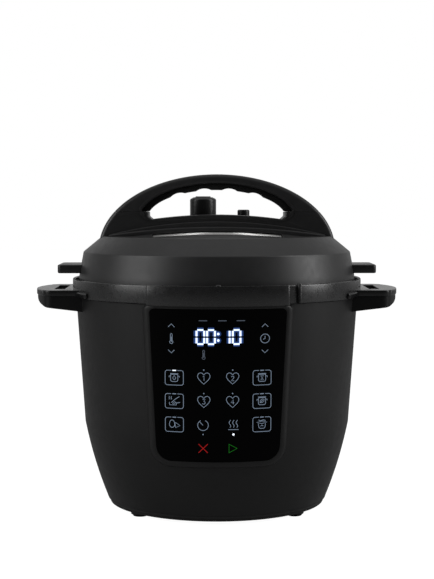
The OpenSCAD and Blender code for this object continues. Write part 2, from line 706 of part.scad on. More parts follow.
switch_w = 24;
switch_d = 14;
switch_h = 13;
switch_y = -53;
tab_h = 5;
module pressure_switch() color(black) {
    z = bucket_under_z - switch_h;
    block(-switch_w / 2, switch_w / 2, switch_y - switch_d / 2, switch_y + switch_d / 2, z,
        bucket_under_z - seat_gap / 2);
    for (x = [-switch_w / 4, switch_w / 4])
        block(x - 1, x + 1, switch_y - 4, switch_y + 4, z - tab_h, z + 0.1);
}
fuse_x = -24;
fuse_y = 40;
fuse_l = 26;
fuse_r = 3;
clip_w = 12;
clip_d = 8;
module thermal_fuse() color("white") {
    z = bucket_under_z - fuse_r - 1.1;
    translate([fuse_x, fuse_y, z]) rotate([0, 90, 0]) cylinder(h = fuse_l, r = fuse_r);
    translate([fuse_x + fuse_l / 2, fuse_y, 0])
        block(-clip_w / 2, clip_w / 2, -clip_d / 2, clip_d / 2, z, bucket_under_z - seat_gap / 2);
}
power_board_t = 1.6;
power_z = board_post_z + seat_gap / 2;
transformer_h = 12;
relay_h = 11;
capacitor_r = 7;
capacitor_h = 12;
heat_sink_h = 13;
connector_w = 8;
connector_h = 8;
connectors = 3;
module power_board() color("darkgreen") {
    difference() {
        block(-power_board_half_w, power_board_half_w, power_board_y0, power_board_y1, power_z,
            power_z + power_board_t);
        for (p = board_posts) rod(p[0], p[1], power_z - past, power_z + power_board_t + past, post_bore);
    }
    z = power_z + power_board_t - join;
    translate([0, power_board_y1, 0]) {
        block(-40, -16, -28, -8, z, z + transformer_h);
        block(-8, 10, -22, -6, z, z + relay_h);
        rod(28, -16, z, z + capacitor_h, capacitor_r);
    }
    translate([0, power_board_y0, 0]) {
        block(-44, -40.5, 6, 26, z, z + heat_sink_h);
        for (i = [0 : connectors - 1]) translate([-20 + 12 * i, 6, 0])
            block(0, connector_w, 0, connector_w, z, z + connector_h);
    }
}

// ---- Mains inlet ----
inlet_wall = 2;
inlet_out = 7.8;
inlet_y = base_r + inlet_out;
inlet_floor_t = 4;
inlet_plate_t = 2.1;
pin_pitch = 14;
pin_half_w = 2;
pin_half_h = 1;
pin_short = 3;
inlet_floor_y = inlet_y - inlet_depth;
inlet_pin_places = [[-pin_pitch / 2, inlet_z - 2], [pin_pitch / 2, inlet_z - 2], [0, inlet_z + 2]];
module inlet_front(t) front_extrude(base_r / 2, rim_r) rounded_rect(-inlet_w / 2 - t, inlet_w / 2 + t,
    inlet_z - inlet_h / 2 - t, inlet_z + inlet_h / 2 + t, 2 + t / 2);
module mains_inlet() color(black) difference() {
    union() {
        intersection() {
            sector(concat(parallel(housing_path, -seat_gap / 2),
                reversed(parallel(housing_path, -inlet_plate_t))), 90, 40);
            inlet_front(inlet_flange);
        }
        intersection() {
            inlet_front(inlet_wall);
            block(-inlet_w, inlet_w, inlet_floor_y - inlet_floor_t, rim_r, 0, belly_z);
            rotate_extrude() polygon(housing_solid(inlet_plate_t));
        }
    }
    intersection() {
        inlet_front(0);
        block(-inlet_w, inlet_w, inlet_floor_y, rim_r + past, 0, belly_z);
    }
    for (p = inlet_pin_places)
        inlet_pin(p, 0.1, inlet_floor_y - inlet_floor_t - past, inlet_floor_y + past);
}
module inlet_pin(p, t, y0, y1) block(p[0] - pin_half_w - t, p[0] + pin_half_w + t, y0, y1,
    p[1] - pin_half_h - t, p[1] + pin_half_h + t);
module inlet_pins() color("goldenrod") for (p = inlet_pin_places)
    inlet_pin(p, 0, inlet_floor_y - inlet_floor_t - 6, inlet_y - pin_short);

// ---- Condensation cup ----
cup_flange_z = rail_bottom_z + rail_t + slide_gap;
cup_corner = 10;
cup_root = 33;
cup_top_z = rail_top_z - slide_gap;
flange_half_w = (hanger_w - rail_w) / 2 - slide_gap;
module cup_plan(t) rounded_rect(-cup_w / 2 + t, cup_w / 2 - t, rim_r - cup_root, cup_back_y - t,
    cup_corner - t);
module condensation_cup() color([0.2, 0.2, 0.21, 0.8]) difference() {
    union() {
        translate([0, 0, cup_bottom_z]) linear_extrude(cup_top_z - cup_bottom_z) cup_plan(0);
        block(-flange_half_w, flange_half_w, rim_r, hanger_back_y, cup_flange_z,
            cup_flange_z + cup_flange_t);
    }
    rotate_extrude() polygon(housing_solid(slide_gap));
    difference() {
        translate([0, 0, cup_bottom_z + cup_wall]) linear_extrude(60) cup_plan(cup_wall);
        rotate_extrude() polygon(housing_solid(slide_gap + cup_wall));
    }
}

// ---- Inner pot ----
pot_path = rounded([[0, pot_bottom_z], [pot_r, pot_bottom_z], [pot_r, pot_rim_z], [pot_rim_r, pot_rim_z]],
    [0, pot_corner, 1.5, 0]);
module inner_pot() color(steel) rotate_extrude() polygon(wall(pot_path, pot_wall));

// ---- Sealing ring and its rack ----
seal_z = pot_rim_z + pot_wall + 0.3;
seal_top_z = steel_flange_z - steel_wall - 0.3;
seal_r = pot_rim_r + 0.4;
seal_lip_r = pot_r - 2.9;
seal_web_r = pot_r + 3;
lip_t = 2;
rack_r = pot_r + 0.9;
rack_wire = 1.2;
steel_side_r = pot_r - 4.5;
rack_post_r = steel_side_r - 3.8;
rack_post_top_z = steel_flange_z + 6.5;
rack_z = (seal_z + seal_top_z) / 2;
rack_posts = 6;
module sealing_ring() color([0.85, 0.85, 0.84]) rotate_extrude() polygon([
    [seal_lip_r, seal_z], [seal_r, seal_z], [seal_r, seal_top_z], [seal_lip_r, seal_top_z],
    [seal_lip_r, seal_top_z - lip_t], [seal_web_r, seal_top_z - lip_t], [seal_web_r, seal_z + lip_t],
    [seal_lip_r, seal_z + lip_t]]);
module ring_rack() color(steel) {
    rotate_extrude() translate([rack_r, rack_z]) circle(r = rack_wire, $fn = 24);
    for (i = [0 : rack_posts - 1]) rotate([0, 0, i * 360 / rack_posts + 15]) {
        translate([rack_post_r, 0, rack_z]) rotate([0, 90, 0])
            cylinder(h = rack_r - rack_post_r, r = rack_wire * 0.8, $fn = 24);
        rod(rack_post_r, 0, rack_z - rack_wire * 0.8, rack_post_top_z, rack_wire, $fn = 24);
    }
}

// ---- Lid ----
skirt_r = lock_ring_r + lug_reach + 2.4;
lid_lug_z = collar_z + collar_floor_t + 0.6;
// The lid's top is flat outside this radius and domed inside it.
crown_border = 23;
window_border = 24;
crown_r = lid_top_r - crown_border;
crown_steps = 8;
// Height of the lid's top at radius r.
function crown_z(r) = lid_top_z + (r < crown_r ? crown_h * (1 - pow(r / crown_r, 2)) : 0);
// Section of the lid's top from the axis out to radius r1, lowered by drop.
function crown_points(r1, drop) = concat(
    [for (i = [0 : crown_steps]) let (r = min(r1, crown_r) * i / crown_steps) [r, crown_z(r) - drop]],
    r1 > crown_r ? [[r1, lid_top_z - drop]] : []);
steel_drop = cover_wall + seat_gap;
steel_dome_r = steel_side_r - 16;
steel_path = rounded(concat(crown_points(steel_dome_r, steel_drop),
    [[steel_side_r - 6, lid_top_z - steel_drop - 1], [steel_side_r, steel_flange_z],
    [skirt_r, steel_flange_z], [skirt_r, lid_lug_z]]),
    concat([for (i = [0 : crown_steps + 1]) 0], [8, 4, 4, 0]));
valve_x = -13;
button_x = 26.4;
button_y = 40;
float_x = 12;
float_y = 66;
handle_screw_in = 26.7;
handle_screw_d = 11;
handle_screw_places = [for (x = [-1, 1], y = [-1, 1])
    [x * (arch_half_w - handle_screw_in), y * handle_screw_d]];
handle_screw_r = 2;
// Heights that cuts through the lid's top run between.
cut_z0 = lid_crown_z - 19.6;
cut_z1 = lid_crown_z + 15.4;

// Raised field of the steel lid that fills the front window of the cover.
field_sink = 1;
field_gap = 0.6;
field_r = lid_top_r - window_border - field_gap;
module steel_field() intersection() {
    rotate_extrude() polygon(concat(crown_points(field_r, field_sink),
        reversed(crown_points(field_r, steel_drop + join))));
    block(-window_half_w + field_gap, window_half_w - field_gap, -window_front_y + field_gap,
        -arch_half_d - 1 - field_gap, cut_z0, cut_z1);
}
module pressure_lid() color(steel) difference() {
    union() {
        rotate_extrude() polygon(wall(steel_path, -steel_wall));
        steel_field();
        lug_ring(lock_ring_r + 0.7, skirt_r - 0.5, lid_lug_z, lid_lug_z + lug_t, 180 / lug_count);
    }
    rod(valve_x, valve_y, cut_z0, cut_z1, pipe_r + seat_gap);
    rod(float_x, float_y, cut_z0, cut_z1, float_r + slide_gap);
    for (p = handle_screw_places) rod(p[0], p[1], cut_z0, cut_z1, handle_screw_r + seat_gap);
}
cover_skirt_z = collar_z + 5.6;
window_r = lid_top_r - window_border;
rear_window_half_w = window_half_w + 4;
rear_window_y = arch_half_d + 8;
cover_path_out = rounded([[lid_r + 1, cover_skirt_z], [lid_r, steel_flange_z - 1],
    [lid_shoulder_r, lid_shoulder_z], [lid_top_r, lid_top_z]], [0, 40, 3, 0]);
module lid_cover() color(charcoal) difference() {
    rotate_extrude()
        polygon(wall(concat(cover_path_out, reversed(crown_points(lid_top_r - 3, 0))), cover_wall));
    intersection() {
        rod(0, 0, cut_z0, cut_z1, window_r);
        union() {
            block(-window_half_w, window_half_w, -window_front_y, -arch_half_d - 1, cut_z0, cut_z1);
            block(-rear_window_half_w, rear_window_half_w, rear_window_y, window_r, cut_z0, cut_z1);
        }
    }
    for (p = handle_screw_places) rod(p[0], p[1], cut_z0, cut_z1, handle_screw_r + seat_gap);
}
fin_z = collar_z + 21;
fin_corner = 3;
module cover_clearance(t) rotate_extrude()
    polygon(concat([[0, cover_skirt_z]], parallel(cover_path_out, -t), [[0, lid_top_z]]));
module lid_fin() color(black) difference() {
    union() {
        translate([0, 0, fin_z]) linear_extrude(fin_t - 1)
            rounded_rect(lid_top_r, fin_tip, -fin_half_d, fin_half_d, fin_corner);
        translate([0, 0, fin_z + 1]) linear_extrude(fin_t - 1)
            rounded_rect(lid_top_r, fin_tip - 1, -fin_half_d + 1, fin_half_d - 1, fin_corner);
    }
    cover_clearance(seat_gap);
}
module lid_fin_right() lid_fin();
module lid_fin_left() mirror([1, 0, 0]) lid_fin();

// ---- Lid handle ----
leg_foot_z = lid_crown_z - 3.6;
band_end_x = arch_half_w - 9.7;
skirt_top_z = lid_crown_z + 4;
band_top_z = lid_crown_z + 8.8;
bar_top_z = lid_crown_z + 14.8;
bar_end_z = bar_top_z - 4.2;
opening_half_w = grip_half_w - 8.7;
bar_end_x = opening_half_w - 3.5;
opening_corner_z = arch_split_z - 4.4;
arch_b = arch_top_z - arch_centre_z;
grip_centre_z = arch_split_z - 7.4;
grip_b = arch_top_z - arch_bar_t - grip_centre_z;
grip_edge_a = grip_half_w - 6;
grip_edge_b = grip_b - 6;
arch_steps = 40;
screw_hole_z = lid_crown_z + 12.4;
module lid_top_clearance() rotate_extrude()
    polygon(concat([[0, cut_z0]], [[lid_top_r + 8, cut_z0], [lid_top_r + 8, lid_top_z - 6]],
        [[lid_top_r, lid_top_z + seat_gap]], reversed(crown_points(lid_top_r - 3, -seat_gap))));
module handle_side(z0, z1) translate([-arch_half_w, 0, 0]) rotate([90, 0, 90])
    linear_extrude(2 * arch_half_w) polygon([
    [-arch_half_d, z0], [arch_half_d, z0], [arch_half_d, bar_top_z], [arch_top_half_d, arch_top_z - 3],
    [arch_top_half_d - 3, z1], [-arch_top_half_d + 3, z1], [-arch_top_half_d, arch_top_z - 3],
    [-arch_half_d, bar_top_z]]);
// Lens in front view under the arc through the ends of the band and height z1.
module band(z1, half_d) front_extrude(-half_d, half_d)
    polygon(concat(crown(band_end_x, leg_foot_z, z1, 20),
        [[band_end_x, arch_centre_z], [-band_end_x, arch_centre_z]]));
module opening_front() polygon(concat(
    rounded([[-opening_half_w, arch_split_z + 20], [-opening_half_w, opening_corner_z],
        [-bar_end_x, bar_end_z]], [0, 3, 0]),
    crown(bar_end_x, bar_end_z, bar_top_z, 12),
    rounded([[bar_end_x, bar_end_z], [opening_half_w, opening_corner_z],
        [opening_half_w, arch_split_z + 20]], [0, 3, 0])));
// Outside of the arch in front view, above height z.
module arch_outline(z) polygon(half_ellipse(arch_half_w, arch_b, arch_centre_z, z, arch_steps));
module handle_base() color(black) difference() {
    union() {
        difference() {
            intersection() {
                front_extrude(-arch_half_d, arch_half_d) arch_outline(arch_centre_z + 0.1);
                block(-arch_half_w, arch_half_w, -arch_half_d, arch_half_d, cut_z0,
                    arch_split_z - seat_gap / 2);
            }
            front_extrude(-arch_half_d - past, arch_half_d + past) opening_front();
        }
        band(skirt_top_z, arch_half_d + 6);
        band(band_top_z, arch_half_d + 2.5);
    }
    lid_top_clearance();
    for (p = handle_screw_places) rod(p[0], p[1], cut_z0, screw_hole_z, handle_screw_r - 0.3);
}
module handle_arch() color(black) intersection() {
    difference() {
        front_extrude(-arch_half_d, arch_half_d) arch_outline(arch_split_z + seat_gap / 2);
        front_extrude(-arch_half_d - past, arch_half_d + past)
            polygon(half_ellipse(grip_half_w, grip_b, grip_centre_z, arch_split_z - past, arch_steps));
    }
    handle_side(cut_z0, arch_top_z);
}
scallop_r = 14;
scallops = [[11.5, grip_centre_z + grip_edge_b - 12.5], [34, grip_centre_z + grip_edge_b - 16.5]];
module handle_grip() color("black") front_extrude(-arch_top_half_d + 1, arch_top_half_d - 1) difference() {
    polygon(half_ellipse(grip_half_w - seat_gap, grip_b - seat_gap, grip_centre_z,
        arch_split_z + seat_gap / 2, arch_steps));
    polygon(half_ellipse(grip_edge_a, grip_edge_b, grip_centre_z, arch_split_z - 1, arch_steps));
    for (s = scallops, m = [-1, 1]) translate([m * s[0], s[1]]) circle(r = scallop_r);
}
handle_head_r = 4;
handle_head_t = 2.4;
handle_screw_l = 14;
module handle_screws() color(steel) for (p = handle_screw_places) {
    z = crown_z(norm(p)) - steel_drop - steel_wall - 0.6;
    rod(p[0], p[1], z - handle_head_t, z, handle_head_r);
    rod(p[0], p[1], z - join, z + handle_screw_l, handle_screw_r - slide_gap);
}

// ---- Valves ----
pipe_r = 4;
pipe_bore = 1.6;
nut_r = pipe_r + 3;
nut_h = 3.2;
mount_top_z = lid_crown_z + 3.4;
mount_floor_z = mount_top_z - 3.5;
valve_z = mount_floor_z + slide_gap;
valve_top_z = valve_z + valve_h;
pipe_top_z = valve_top_z - 12.8;
float_r = 2.6;
float_head_r = float_r + 2.4;
mount_wall = 3.6;
module mount_plan() hull() {
    translate([valve_x, valve_y]) circle(r = valve_r + mount_wall + 0.6, $fn = 64);
    translate([button_x, button_y]) circle(r = button_r + mount_wall + 1, $fn = 64);
}
module valve_mount() color(black) difference() {
    translate([0, 0, cut_z0]) linear_extrude(mount_top_z - cut_z0) mount_plan();
    rotate_extrude() polygon(concat([[0, cut_z0], [window_r, cut_z0]],
        reversed(crown_points(window_r, steel_drop - seat_gap))));
    rod(valve_x, valve_y, cut_z0, cut_z1, nut_r + slide_gap);
    rod(valve_x, valve_y, mount_floor_z, cut_z1, valve_r + slide_gap + 0.6);
    rod(button_x, button_y, cut_z0, cut_z1, button_stem_r + slide_gap);
    rod(button_x, button_y, button_floor_z, cut_z1, button_r + slide_gap);
}
pipe_seat_z = crown_z(norm([valve_x, valve_y])) - steel_drop;
nut_z = pipe_seat_z - steel_wall - nut_h - 0.8;
module steam_pipe() color(steel) difference() {
    union() {
        rod(valve_x, valve_y, pipe_seat_z - 12, pipe_top_z, pipe_r);
        rod(valve_x, valve_y, pipe_seat_z + 0.5, pipe_seat_z + nut_h, nut_r);
        rod(valve_x, valve_y, nut_z, nut_z + nut_h, nut_r);
    }
    rod(valve_x, valve_y, pipe_seat_z - 20, pipe_top_z + past, pipe_bore);
}
valve_chamfer = 2.6;
module steam_valve() color(black) difference() {
    translate([valve_x, valve_y, 0]) rotate_extrude() polygon(rounded([[0, valve_z], [valve_r, valve_z],
        [valve_r, valve_top_z - valve_chamfer], [valve_r - 3.6, valve_top_z - 0.9],
        [valve_r - 5.2, valve_top_z - 0.9], [valve_r - 5.6, valve_top_z], [0, valve_top_z]],
        [0, 0.8, 1.6, 1, 0, 0, 0]));
    rod(valve_x, valve_y, cut_z0, pipe_top_z + slide_gap, pipe_r + slide_gap);
    rod(valve_x, valve_y, cut_z0, valve_z + 6, nut_r + 1);
}
button_stem_r = button_r - 3.4;
button_floor_z = mount_floor_z - 2;
button_z = mount_top_z - 0.3;
button_top_z = button_z + button_h;
button_travel = 3;
module release_button() color(black) {
    translate([button_x, button_y, 0]) rotate_extrude() polygon(rounded([[0, button_z],
        [button_r, button_z], [button_r, button_top_z], [0, button_top_z]], [0, 0.4, 1.4, 0]));
    rod(button_x, button_y, button_floor_z + button_travel, button_z + 1, button_stem_r);
}
module release_spring() color(steel) coil(button_x, button_y, button_floor_z + seat_gap,
    button_z - seat_gap, button_r - 1.6, 0.45, release_turns);
float_seat_z = crown_z(norm([float_x, float_y])) - steel_drop - steel_wall;
float_head_z = float_seat_z - 9;
module float_valve() color("firebrick") {
    rod(float_x, float_y, float_head_z, float_seat_z + 2.4, float_r);
    rod(float_x, float_y, float_head_z, float_head_z + 2.8, float_head_r);
}
module float_seal() color([0.8, 0.8, 0.8]) tube(float_x, float_y, float_head_z - 4.6, float_head_z - 0.1,
    float_head_r + 0.8, 1);
shield_r = 15;
shield_h = 13;
shield_wall = 1;
shield_slots = 12;
module anti_block_shield() color(steel) {
    z1 = nut_z - seat_gap;
    difference() {
        rod(valve_x, valve_y, z1 - shield_h, z1, shield_r);
        rod(valve_x, valve_y, z1 - shield_h + shield_wall, z1 - shield_wall, shield_r - shield_wall);
        rod(valve_x, valve_y, z1 - shield_wall - past, z1 + past, pipe_r + seat_gap);
        translate([valve_x, valve_y, 0]) for (i = [0 : shield_slots - 1])
            rotate([0, 0, i * 360 / shield_slots])
                block(shield_r - 4, shield_r + 4, -2, 2, z1 - shield_h + 2, z1 - 3);
    }
}

outer_housing();
base_cover();
foot_front_left();
foot_front_right();
foot_rear_left();
foot_rear_right();
base_screws();
condensation_collar();
collar_front_plate();
side_handle_left();
side_handle_right();
handle_shell_left();
handle_shell_right();
panel_bezel();
control_glass();
display_module();
control_board();
heater_housing();
lock_ring();
heating_plate();
plate_supports();
heating_element();
temperature_sensor();
sensor_holder();
sensor_spring();
pressure_switch();
thermal_fuse();
power_board();
mains_inlet();
inlet_pins();
condensation_cup();
inner_pot();
sealing_ring();
ring_rack();
pressure_lid();
lid_cover();
lid_fin_left();
lid_fin_right();
handle_base();
handle_arch();
handle_grip();
handle_screws();
valve_mount();
steam_pipe();
steam_valve();
release_button();
release_spring();
float_valve();
float_seal();
anti_block_shield();
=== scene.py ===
import math
import bmesh
import bpy
from mathutils import Matrix, Vector


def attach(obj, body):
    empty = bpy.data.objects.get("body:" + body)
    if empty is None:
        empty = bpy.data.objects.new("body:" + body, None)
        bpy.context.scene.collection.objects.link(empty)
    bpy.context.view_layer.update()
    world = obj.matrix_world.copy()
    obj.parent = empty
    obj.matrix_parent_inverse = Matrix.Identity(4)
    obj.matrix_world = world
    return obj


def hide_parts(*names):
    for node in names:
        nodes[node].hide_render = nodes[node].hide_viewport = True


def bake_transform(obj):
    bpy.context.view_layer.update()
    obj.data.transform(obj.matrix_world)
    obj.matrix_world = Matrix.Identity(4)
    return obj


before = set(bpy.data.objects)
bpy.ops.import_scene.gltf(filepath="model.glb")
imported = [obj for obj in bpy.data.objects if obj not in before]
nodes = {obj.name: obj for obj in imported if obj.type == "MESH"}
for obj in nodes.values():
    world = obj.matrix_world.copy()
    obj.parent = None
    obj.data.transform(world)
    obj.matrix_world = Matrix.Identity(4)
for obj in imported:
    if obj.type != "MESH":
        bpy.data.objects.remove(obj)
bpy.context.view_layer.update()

scene = bpy.context.scene

# Lengths of shapes are in millimetres, and a finished piece is brought to metres.
MM = 0.001


def placed(name, data):
    """A new object of the scene."""
    thing = bpy.data.objects.new(name, data)
    scene.collection.objects.link(thing)
    return thing


# ---- Camera ----
view_pitch, view_turn = math.radians(3.86), math.radians(0.55)
view_distance, view_height, view_shift = 1.3, 0.2911, 0.0002
lens = bpy.data.cameras.new("camera")
lens.sensor_fit = "VERTICAL"
lens.sensor_height = 36
lens.lens = 85.2
camera = placed("camera", lens)
camera.location = (view_shift - view_distance * math.sin(view_turn),
                   -view_distance * math.cos(view_turn), view_height)
camera.rotation_euler = (math.pi / 2 - view_pitch, 0, -view_turn)
scene.camera = camera
scene.view_settings.view_transform = "Standard"


# ---- Finishes ----
def finish(name, color, roughness, metallic=0.0, specular=0.5):
    material = bpy.data.materials.new(name)
    material.use_nodes = True
    shader = material.node_tree.nodes["Principled BSDF"]
    shader.inputs["Base Color"].default_value = (*color, 1)
    shader.inputs["Roughness"].default_value = roughness
    shader.inputs["Metallic"].default_value = metallic
    shader.inputs["Specular IOR Level"].default_value = specular
    return material


def ranged(node, *ends):
    """The result of a Map Range node, from its first two numbers to its last two."""
    for socket, number in zip(("From Min", "From Max", "To Min", "To Max"), ends):
        node.inputs[socket].default_value = number
    return node.outputs["Result"]


class Pattern:
    """The nodes of one finish, with the piece's own coordinates as their source."""

    def __init__(self, material):
        self.tree = material.node_tree
        self.shader = self.tree.nodes["Principled BSDF"]
        self.place = self.add("ShaderNodeTexCoord").outputs["Object"]

    def add(self, kind, **settings):
        node = self.tree.nodes.new(kind)
        for key, value in settings.items():
            setattr(node, key, value)
        return node

    def join(self, a, b):
        self.tree.links.new(a, b)

    def noise(self, scale, detail, source=None):
        node = self.add("ShaderNodeTexNoise")
        node.inputs["Scale"].default_value = scale
        node.inputs["Detail"].default_value = detail
        self.join(source or self.place, node.inputs["Vector"])
        return node.outputs["Fac"]

    def spread(self, value, low, high):
        """The middle of a noise's range, stretched to run from low to high."""
        node = self.add("ShaderNodeMapRange")
        self.join(value, node.inputs["Value"])
        return ranged(node, 0.3, 0.7, low, high)

    def wander(self, scale, detail, low=0, high=1):
        """A noise of that scale, running from low to high."""
        return self.spread(self.noise(scale, detail), low, high)

    def math(self, operation, a, b=None):
        node = self.add("ShaderNodeMath", operation=operation)
        for socket, value in zip(node.inputs, (a, b)):
            if hasattr(value, "is_linked"):
                self.join(value, socket)
            elif value is not None:
                socket.default_value = value
        return node.outputs["Value"]

    def tint(self, value, dark, light):
        node = self.add("ShaderNodeMix", data_type="RGBA")
        node.inputs["A"].default_value = (*dark, 1)
        node.inputs["B"].default_value = (*light, 1)
        self.join(value, node.inputs["Factor"])
        self.join(node.outputs["Result"], self.shader.inputs["Base Color"])

    def roughen(self, value):
        self.join(value, self.shader.inputs["Roughness"])

    def emboss(self, height, strength, depth):
        node = self.add("ShaderNodeBump")
        node.inputs["Strength"].default_value = strength
        node.inputs["Distance"].default_value = depth
        self.join(height, node.inputs["Height"])
        self.join(node.outputs["Normal"], self.shader.inputs["Normal"])


def shades(color, darker, lighter):
    """The color made darker, and made lighter."""
    return [c * darker for c in color], [min(c * lighter, 1) for c in color]


def moulded_plastic(name, color, roughness, grain=0.12, specular=0.5):
    """Moulded plastic with a spark-eroded grain and faint clouding."""
    material = finish(name, color, roughness, specular=specular)
    look = Pattern(material)
    look.tint(look.wander(26, 3), *shades(color, 0.88, 1.12))
    look.roughen(look.wander(160, 4, roughness - 0.03, roughness + 0.04))
    look.emboss(look.noise(2600, 2), grain, 0.00015)
    return material


def soft_rubber(name, color, roughness):
    material = finish(name, color, roughness, specular=0.3)
    look = Pattern(material)
    look.tint(look.wander(60, 4), *shades(color, 0.7, 1.3))
    look.roughen(look.wander(300, 3, roughness - 0.05, roughness + 0.08))
    look.emboss(look.noise(1800, 3), 0.25, 0.0002)
    return material


def turned_metal(name, color, roughness, across=900.0, spread=0.8):
    """Metal brushed round the pot's axis: fine lines that hardly change on the way round."""
    material = finish(name, color, roughness, metallic=1.0)
    look = Pattern(material)
    look.shader.inputs["Anisotropic"].default_value = spread
    apart = look.add("ShaderNodeSeparateXYZ")
    look.join(look.place, apart.inputs["Vector"])
    x, y, z = apart.outputs
    squares = look.math("ADD", look.math("MULTIPLY", x, x), look.math("MULTIPLY", y, y))
    radius = look.math("SQRT", squares)
    turn = look.math("ARCTAN2", y, x)
    lines = look.add("ShaderNodeCombineXYZ")
    for value, scale, socket in zip((radius, turn, z), (across, 1.5, 900.0), lines.inputs):
        look.join(look.math("MULTIPLY", value, scale), socket)
    from_axis = look.add("ShaderNodeCombineXYZ")
    look.join(x, from_axis.inputs["X"])
    look.join(y, from_axis.inputs["Y"])
    in_world = look.add("ShaderNodeVectorTransform", vector_type="NORMAL", convert_from="OBJECT",
                        convert_to="WORLD")
    look.join(from_axis.outputs["Vector"], in_world.inputs["Vector"])
    look.join(in_world.outputs["Vector"], look.shader.inputs["Tangent"])
    brushed = look.noise(3.0, 4, lines.outputs["Vector"])
    look.tint(look.spread(brushed, 0, 1), *shades(color, 0.9, 1.06))
    look.roughen(look.spread(brushed, roughness - 0.06, roughness + 0.08))
    look.emboss(brushed, 0.06, 0.0001)
    return material


def plain_metal(name, color, roughness):
    material = finish(name, color, roughness, metallic=1.0)
    look = Pattern(material)
    look.tint(look.wander(220, 4), *shades(color, 0.9, 1.05))
    look.roughen(look.wander(500, 3, roughness - 0.05, roughness + 0.07))
    look.emboss(look.noise(1500, 3), 0.08, 0.0001)
    return material


charcoal = moulded_plastic("charcoal_plastic", (0.0045, 0.0045, 0.0047), 0.44, specular=0.44)
collar_charcoal = moulded_plastic("collar_charcoal_plastic", (0.015, 0.015, 0.0155), 0.27, 0.06, 0.72)
lid_charcoal = moulded_plastic("lid_charcoal_plastic", (0.019, 0.019, 0.0195), 0.42)
black_plastic = moulded_plastic("black_plastic", (0.009, 0.009, 0.0095), 0.36)
handle_black = moulded_plastic("handle_black_plastic", (0.0128, 0.0128, 0.0133), 0.37)
plate_black = moulded_plastic("side_grip_plastic", (0.006, 0.006, 0.0064), 0.23, 0.05)
# The grip shell's plastic is the plate's black plastic made darker and less glossy: painted shade under
# the plate's overhang.
shell_black_painted_shade = moulded_plastic("grip_shell_plastic_painted_shade", (0.005, 0.005, 0.0053), 0.40, 0.08, 0.22)
deep_black = moulded_plastic("base_black_plastic", (0.007, 0.007, 0.007), 0.5)
grip_rubber = soft_rubber("grip_rubber", (0.0012, 0.0012, 0.0012), 0.75)
foot_rubber = soft_rubber("foot_rubber", (0.008, 0.008, 0.008), 0.8)
steel = turned_metal("brushed_steel", (0.90, 0.895, 0.88), 0.52, spread=0.9)
pot_steel = turned_metal("pot_steel", (0.66, 0.655, 0.64), 0.22)
small_steel = plain_metal("small_steel", (0.58, 0.575, 0.56), 0.3)
aluminium = turned_metal("turned_aluminium", (0.72, 0.72, 0.73), 0.34, across=1400)
dark_metal = plain_metal("element_metal", (0.22, 0.21, 0.2), 0.5)
brass = plain_metal("plated_brass", (0.72, 0.58, 0.32), 0.25)


def silicone_finish():
    material = finish("silicone", (0.78, 0.78, 0.76), 0.42, specular=0.4)
    look = Pattern(material)
    look.shader.inputs["Subsurface Weight"].default_value = 0.35
    look.shader.inputs["Subsurface Radius"].default_value = (0.004, 0.004, 0.0035)
    look.tint(look.wander(90, 3), (0.72, 0.72, 0.70), (0.82, 0.82, 0.80))
    look.roughen(look.wander(240, 3, 0.36, 0.5))
    return material


def smoke_finish():
    material = finish("smoke_plastic", (0.07, 0.07, 0.075), 0.16)
    look = Pattern(material)
    look.shader.inputs["Transmission Weight"].default_value = 0.55
    look.shader.inputs["IOR"].default_value = 1.5
    look.tint(look.wander(40, 3), (0.06, 0.06, 0.065), (0.085, 0.085, 0.09))
    look.roughen(look.wander(300, 3, 0.12, 0.22))
    return material


def board_finish():
    material = finish("circuit_board", (0.02, 0.13, 0.05), 0.4)
    look = Pattern(material)
    tracks = look.add("ShaderNodeTexBrick")
    tracks.inputs["Scale"].default_value = 140
    tracks.inputs["Mortar Size"].default_value = 0.03
    look.join(look.place, tracks.inputs["Vector"])
    look.tint(tracks.outputs["Fac"], (0.012, 0.10, 0.035), (0.03, 0.2, 0.08))
    look.roughen(look.wander(400, 3, 0.32, 0.48))
    return material


def ceramic_finish():
    material = finish("ceramic", (0.78, 0.76, 0.72), 0.55)
    look = Pattern(material)
    look.tint(look.wander(120, 4), (0.7, 0.68, 0.63), (0.82, 0.8, 0.77))
    look.emboss(look.noise(900, 3), 0.2, 0.0002)
    return material


def float_finish():
    material = finish("float_red", (0.45, 0.012, 0.012), 0.3)
    look = Pattern(material)
    look.tint(look.wander(200, 3), (0.4, 0.01, 0.01), (0.5, 0.016, 0.016))
    look.roughen(look.wander(500, 3, 0.25, 0.38))
    return material


def glass_finish():
    material = finish("panel_glass", (0.0005, 0.0005, 0.0006), 0.1, specular=0.05)
    look = Pattern(material)
    look.roughen(look.wander(30, 3, 0.08, 0.12))
    return material


def lit_finish(name, color, strength, body=(0.02, 0.02, 0.02)):
    material = finish(name, body, 0.5)
    look = Pattern(material)
    look.shader.inputs["Emission Color"].default_value = (*color, 1)
    glow = look.wander(700, 2, strength * 0.94, strength * 1.04)
    look.join(glow, look.shader.inputs["Emission Strength"])
    return material


silicone = silicone_finish()
smoke = smoke_finish()
board_green = board_finish()
ceramic = ceramic_finish()
float_red = float_finish()
panel_black = glass_finish()
icon_print = lit_finish("icon_print", (0.165, 0.215, 0.285), 1.0)
faint_print = lit_finish("faint_print", (0.06, 0.075, 0.10), 1.0)
lit_white = lit_finish("lit_white", (0.85, 0.92, 1.0), 1.3)
lit_digits = lit_finish("lit_digits", (0.72, 0.84, 1.0), 1.6)
near_glow = lit_finish("near_glow", (0.04, 0.10, 0.34), 1.0, (0, 0, 0))
far_glow = lit_finish("far_glow", (0.009, 0.029, 0.105), 1.0, (0, 0, 0))
stop_red = lit_finish("stop_red", (0.29, 0.002, 0.002), 1.0, (0, 0, 0))
start_green = lit_finish("start_green", (0.003, 0.15, 0.004), 1.0, (0, 0, 0))


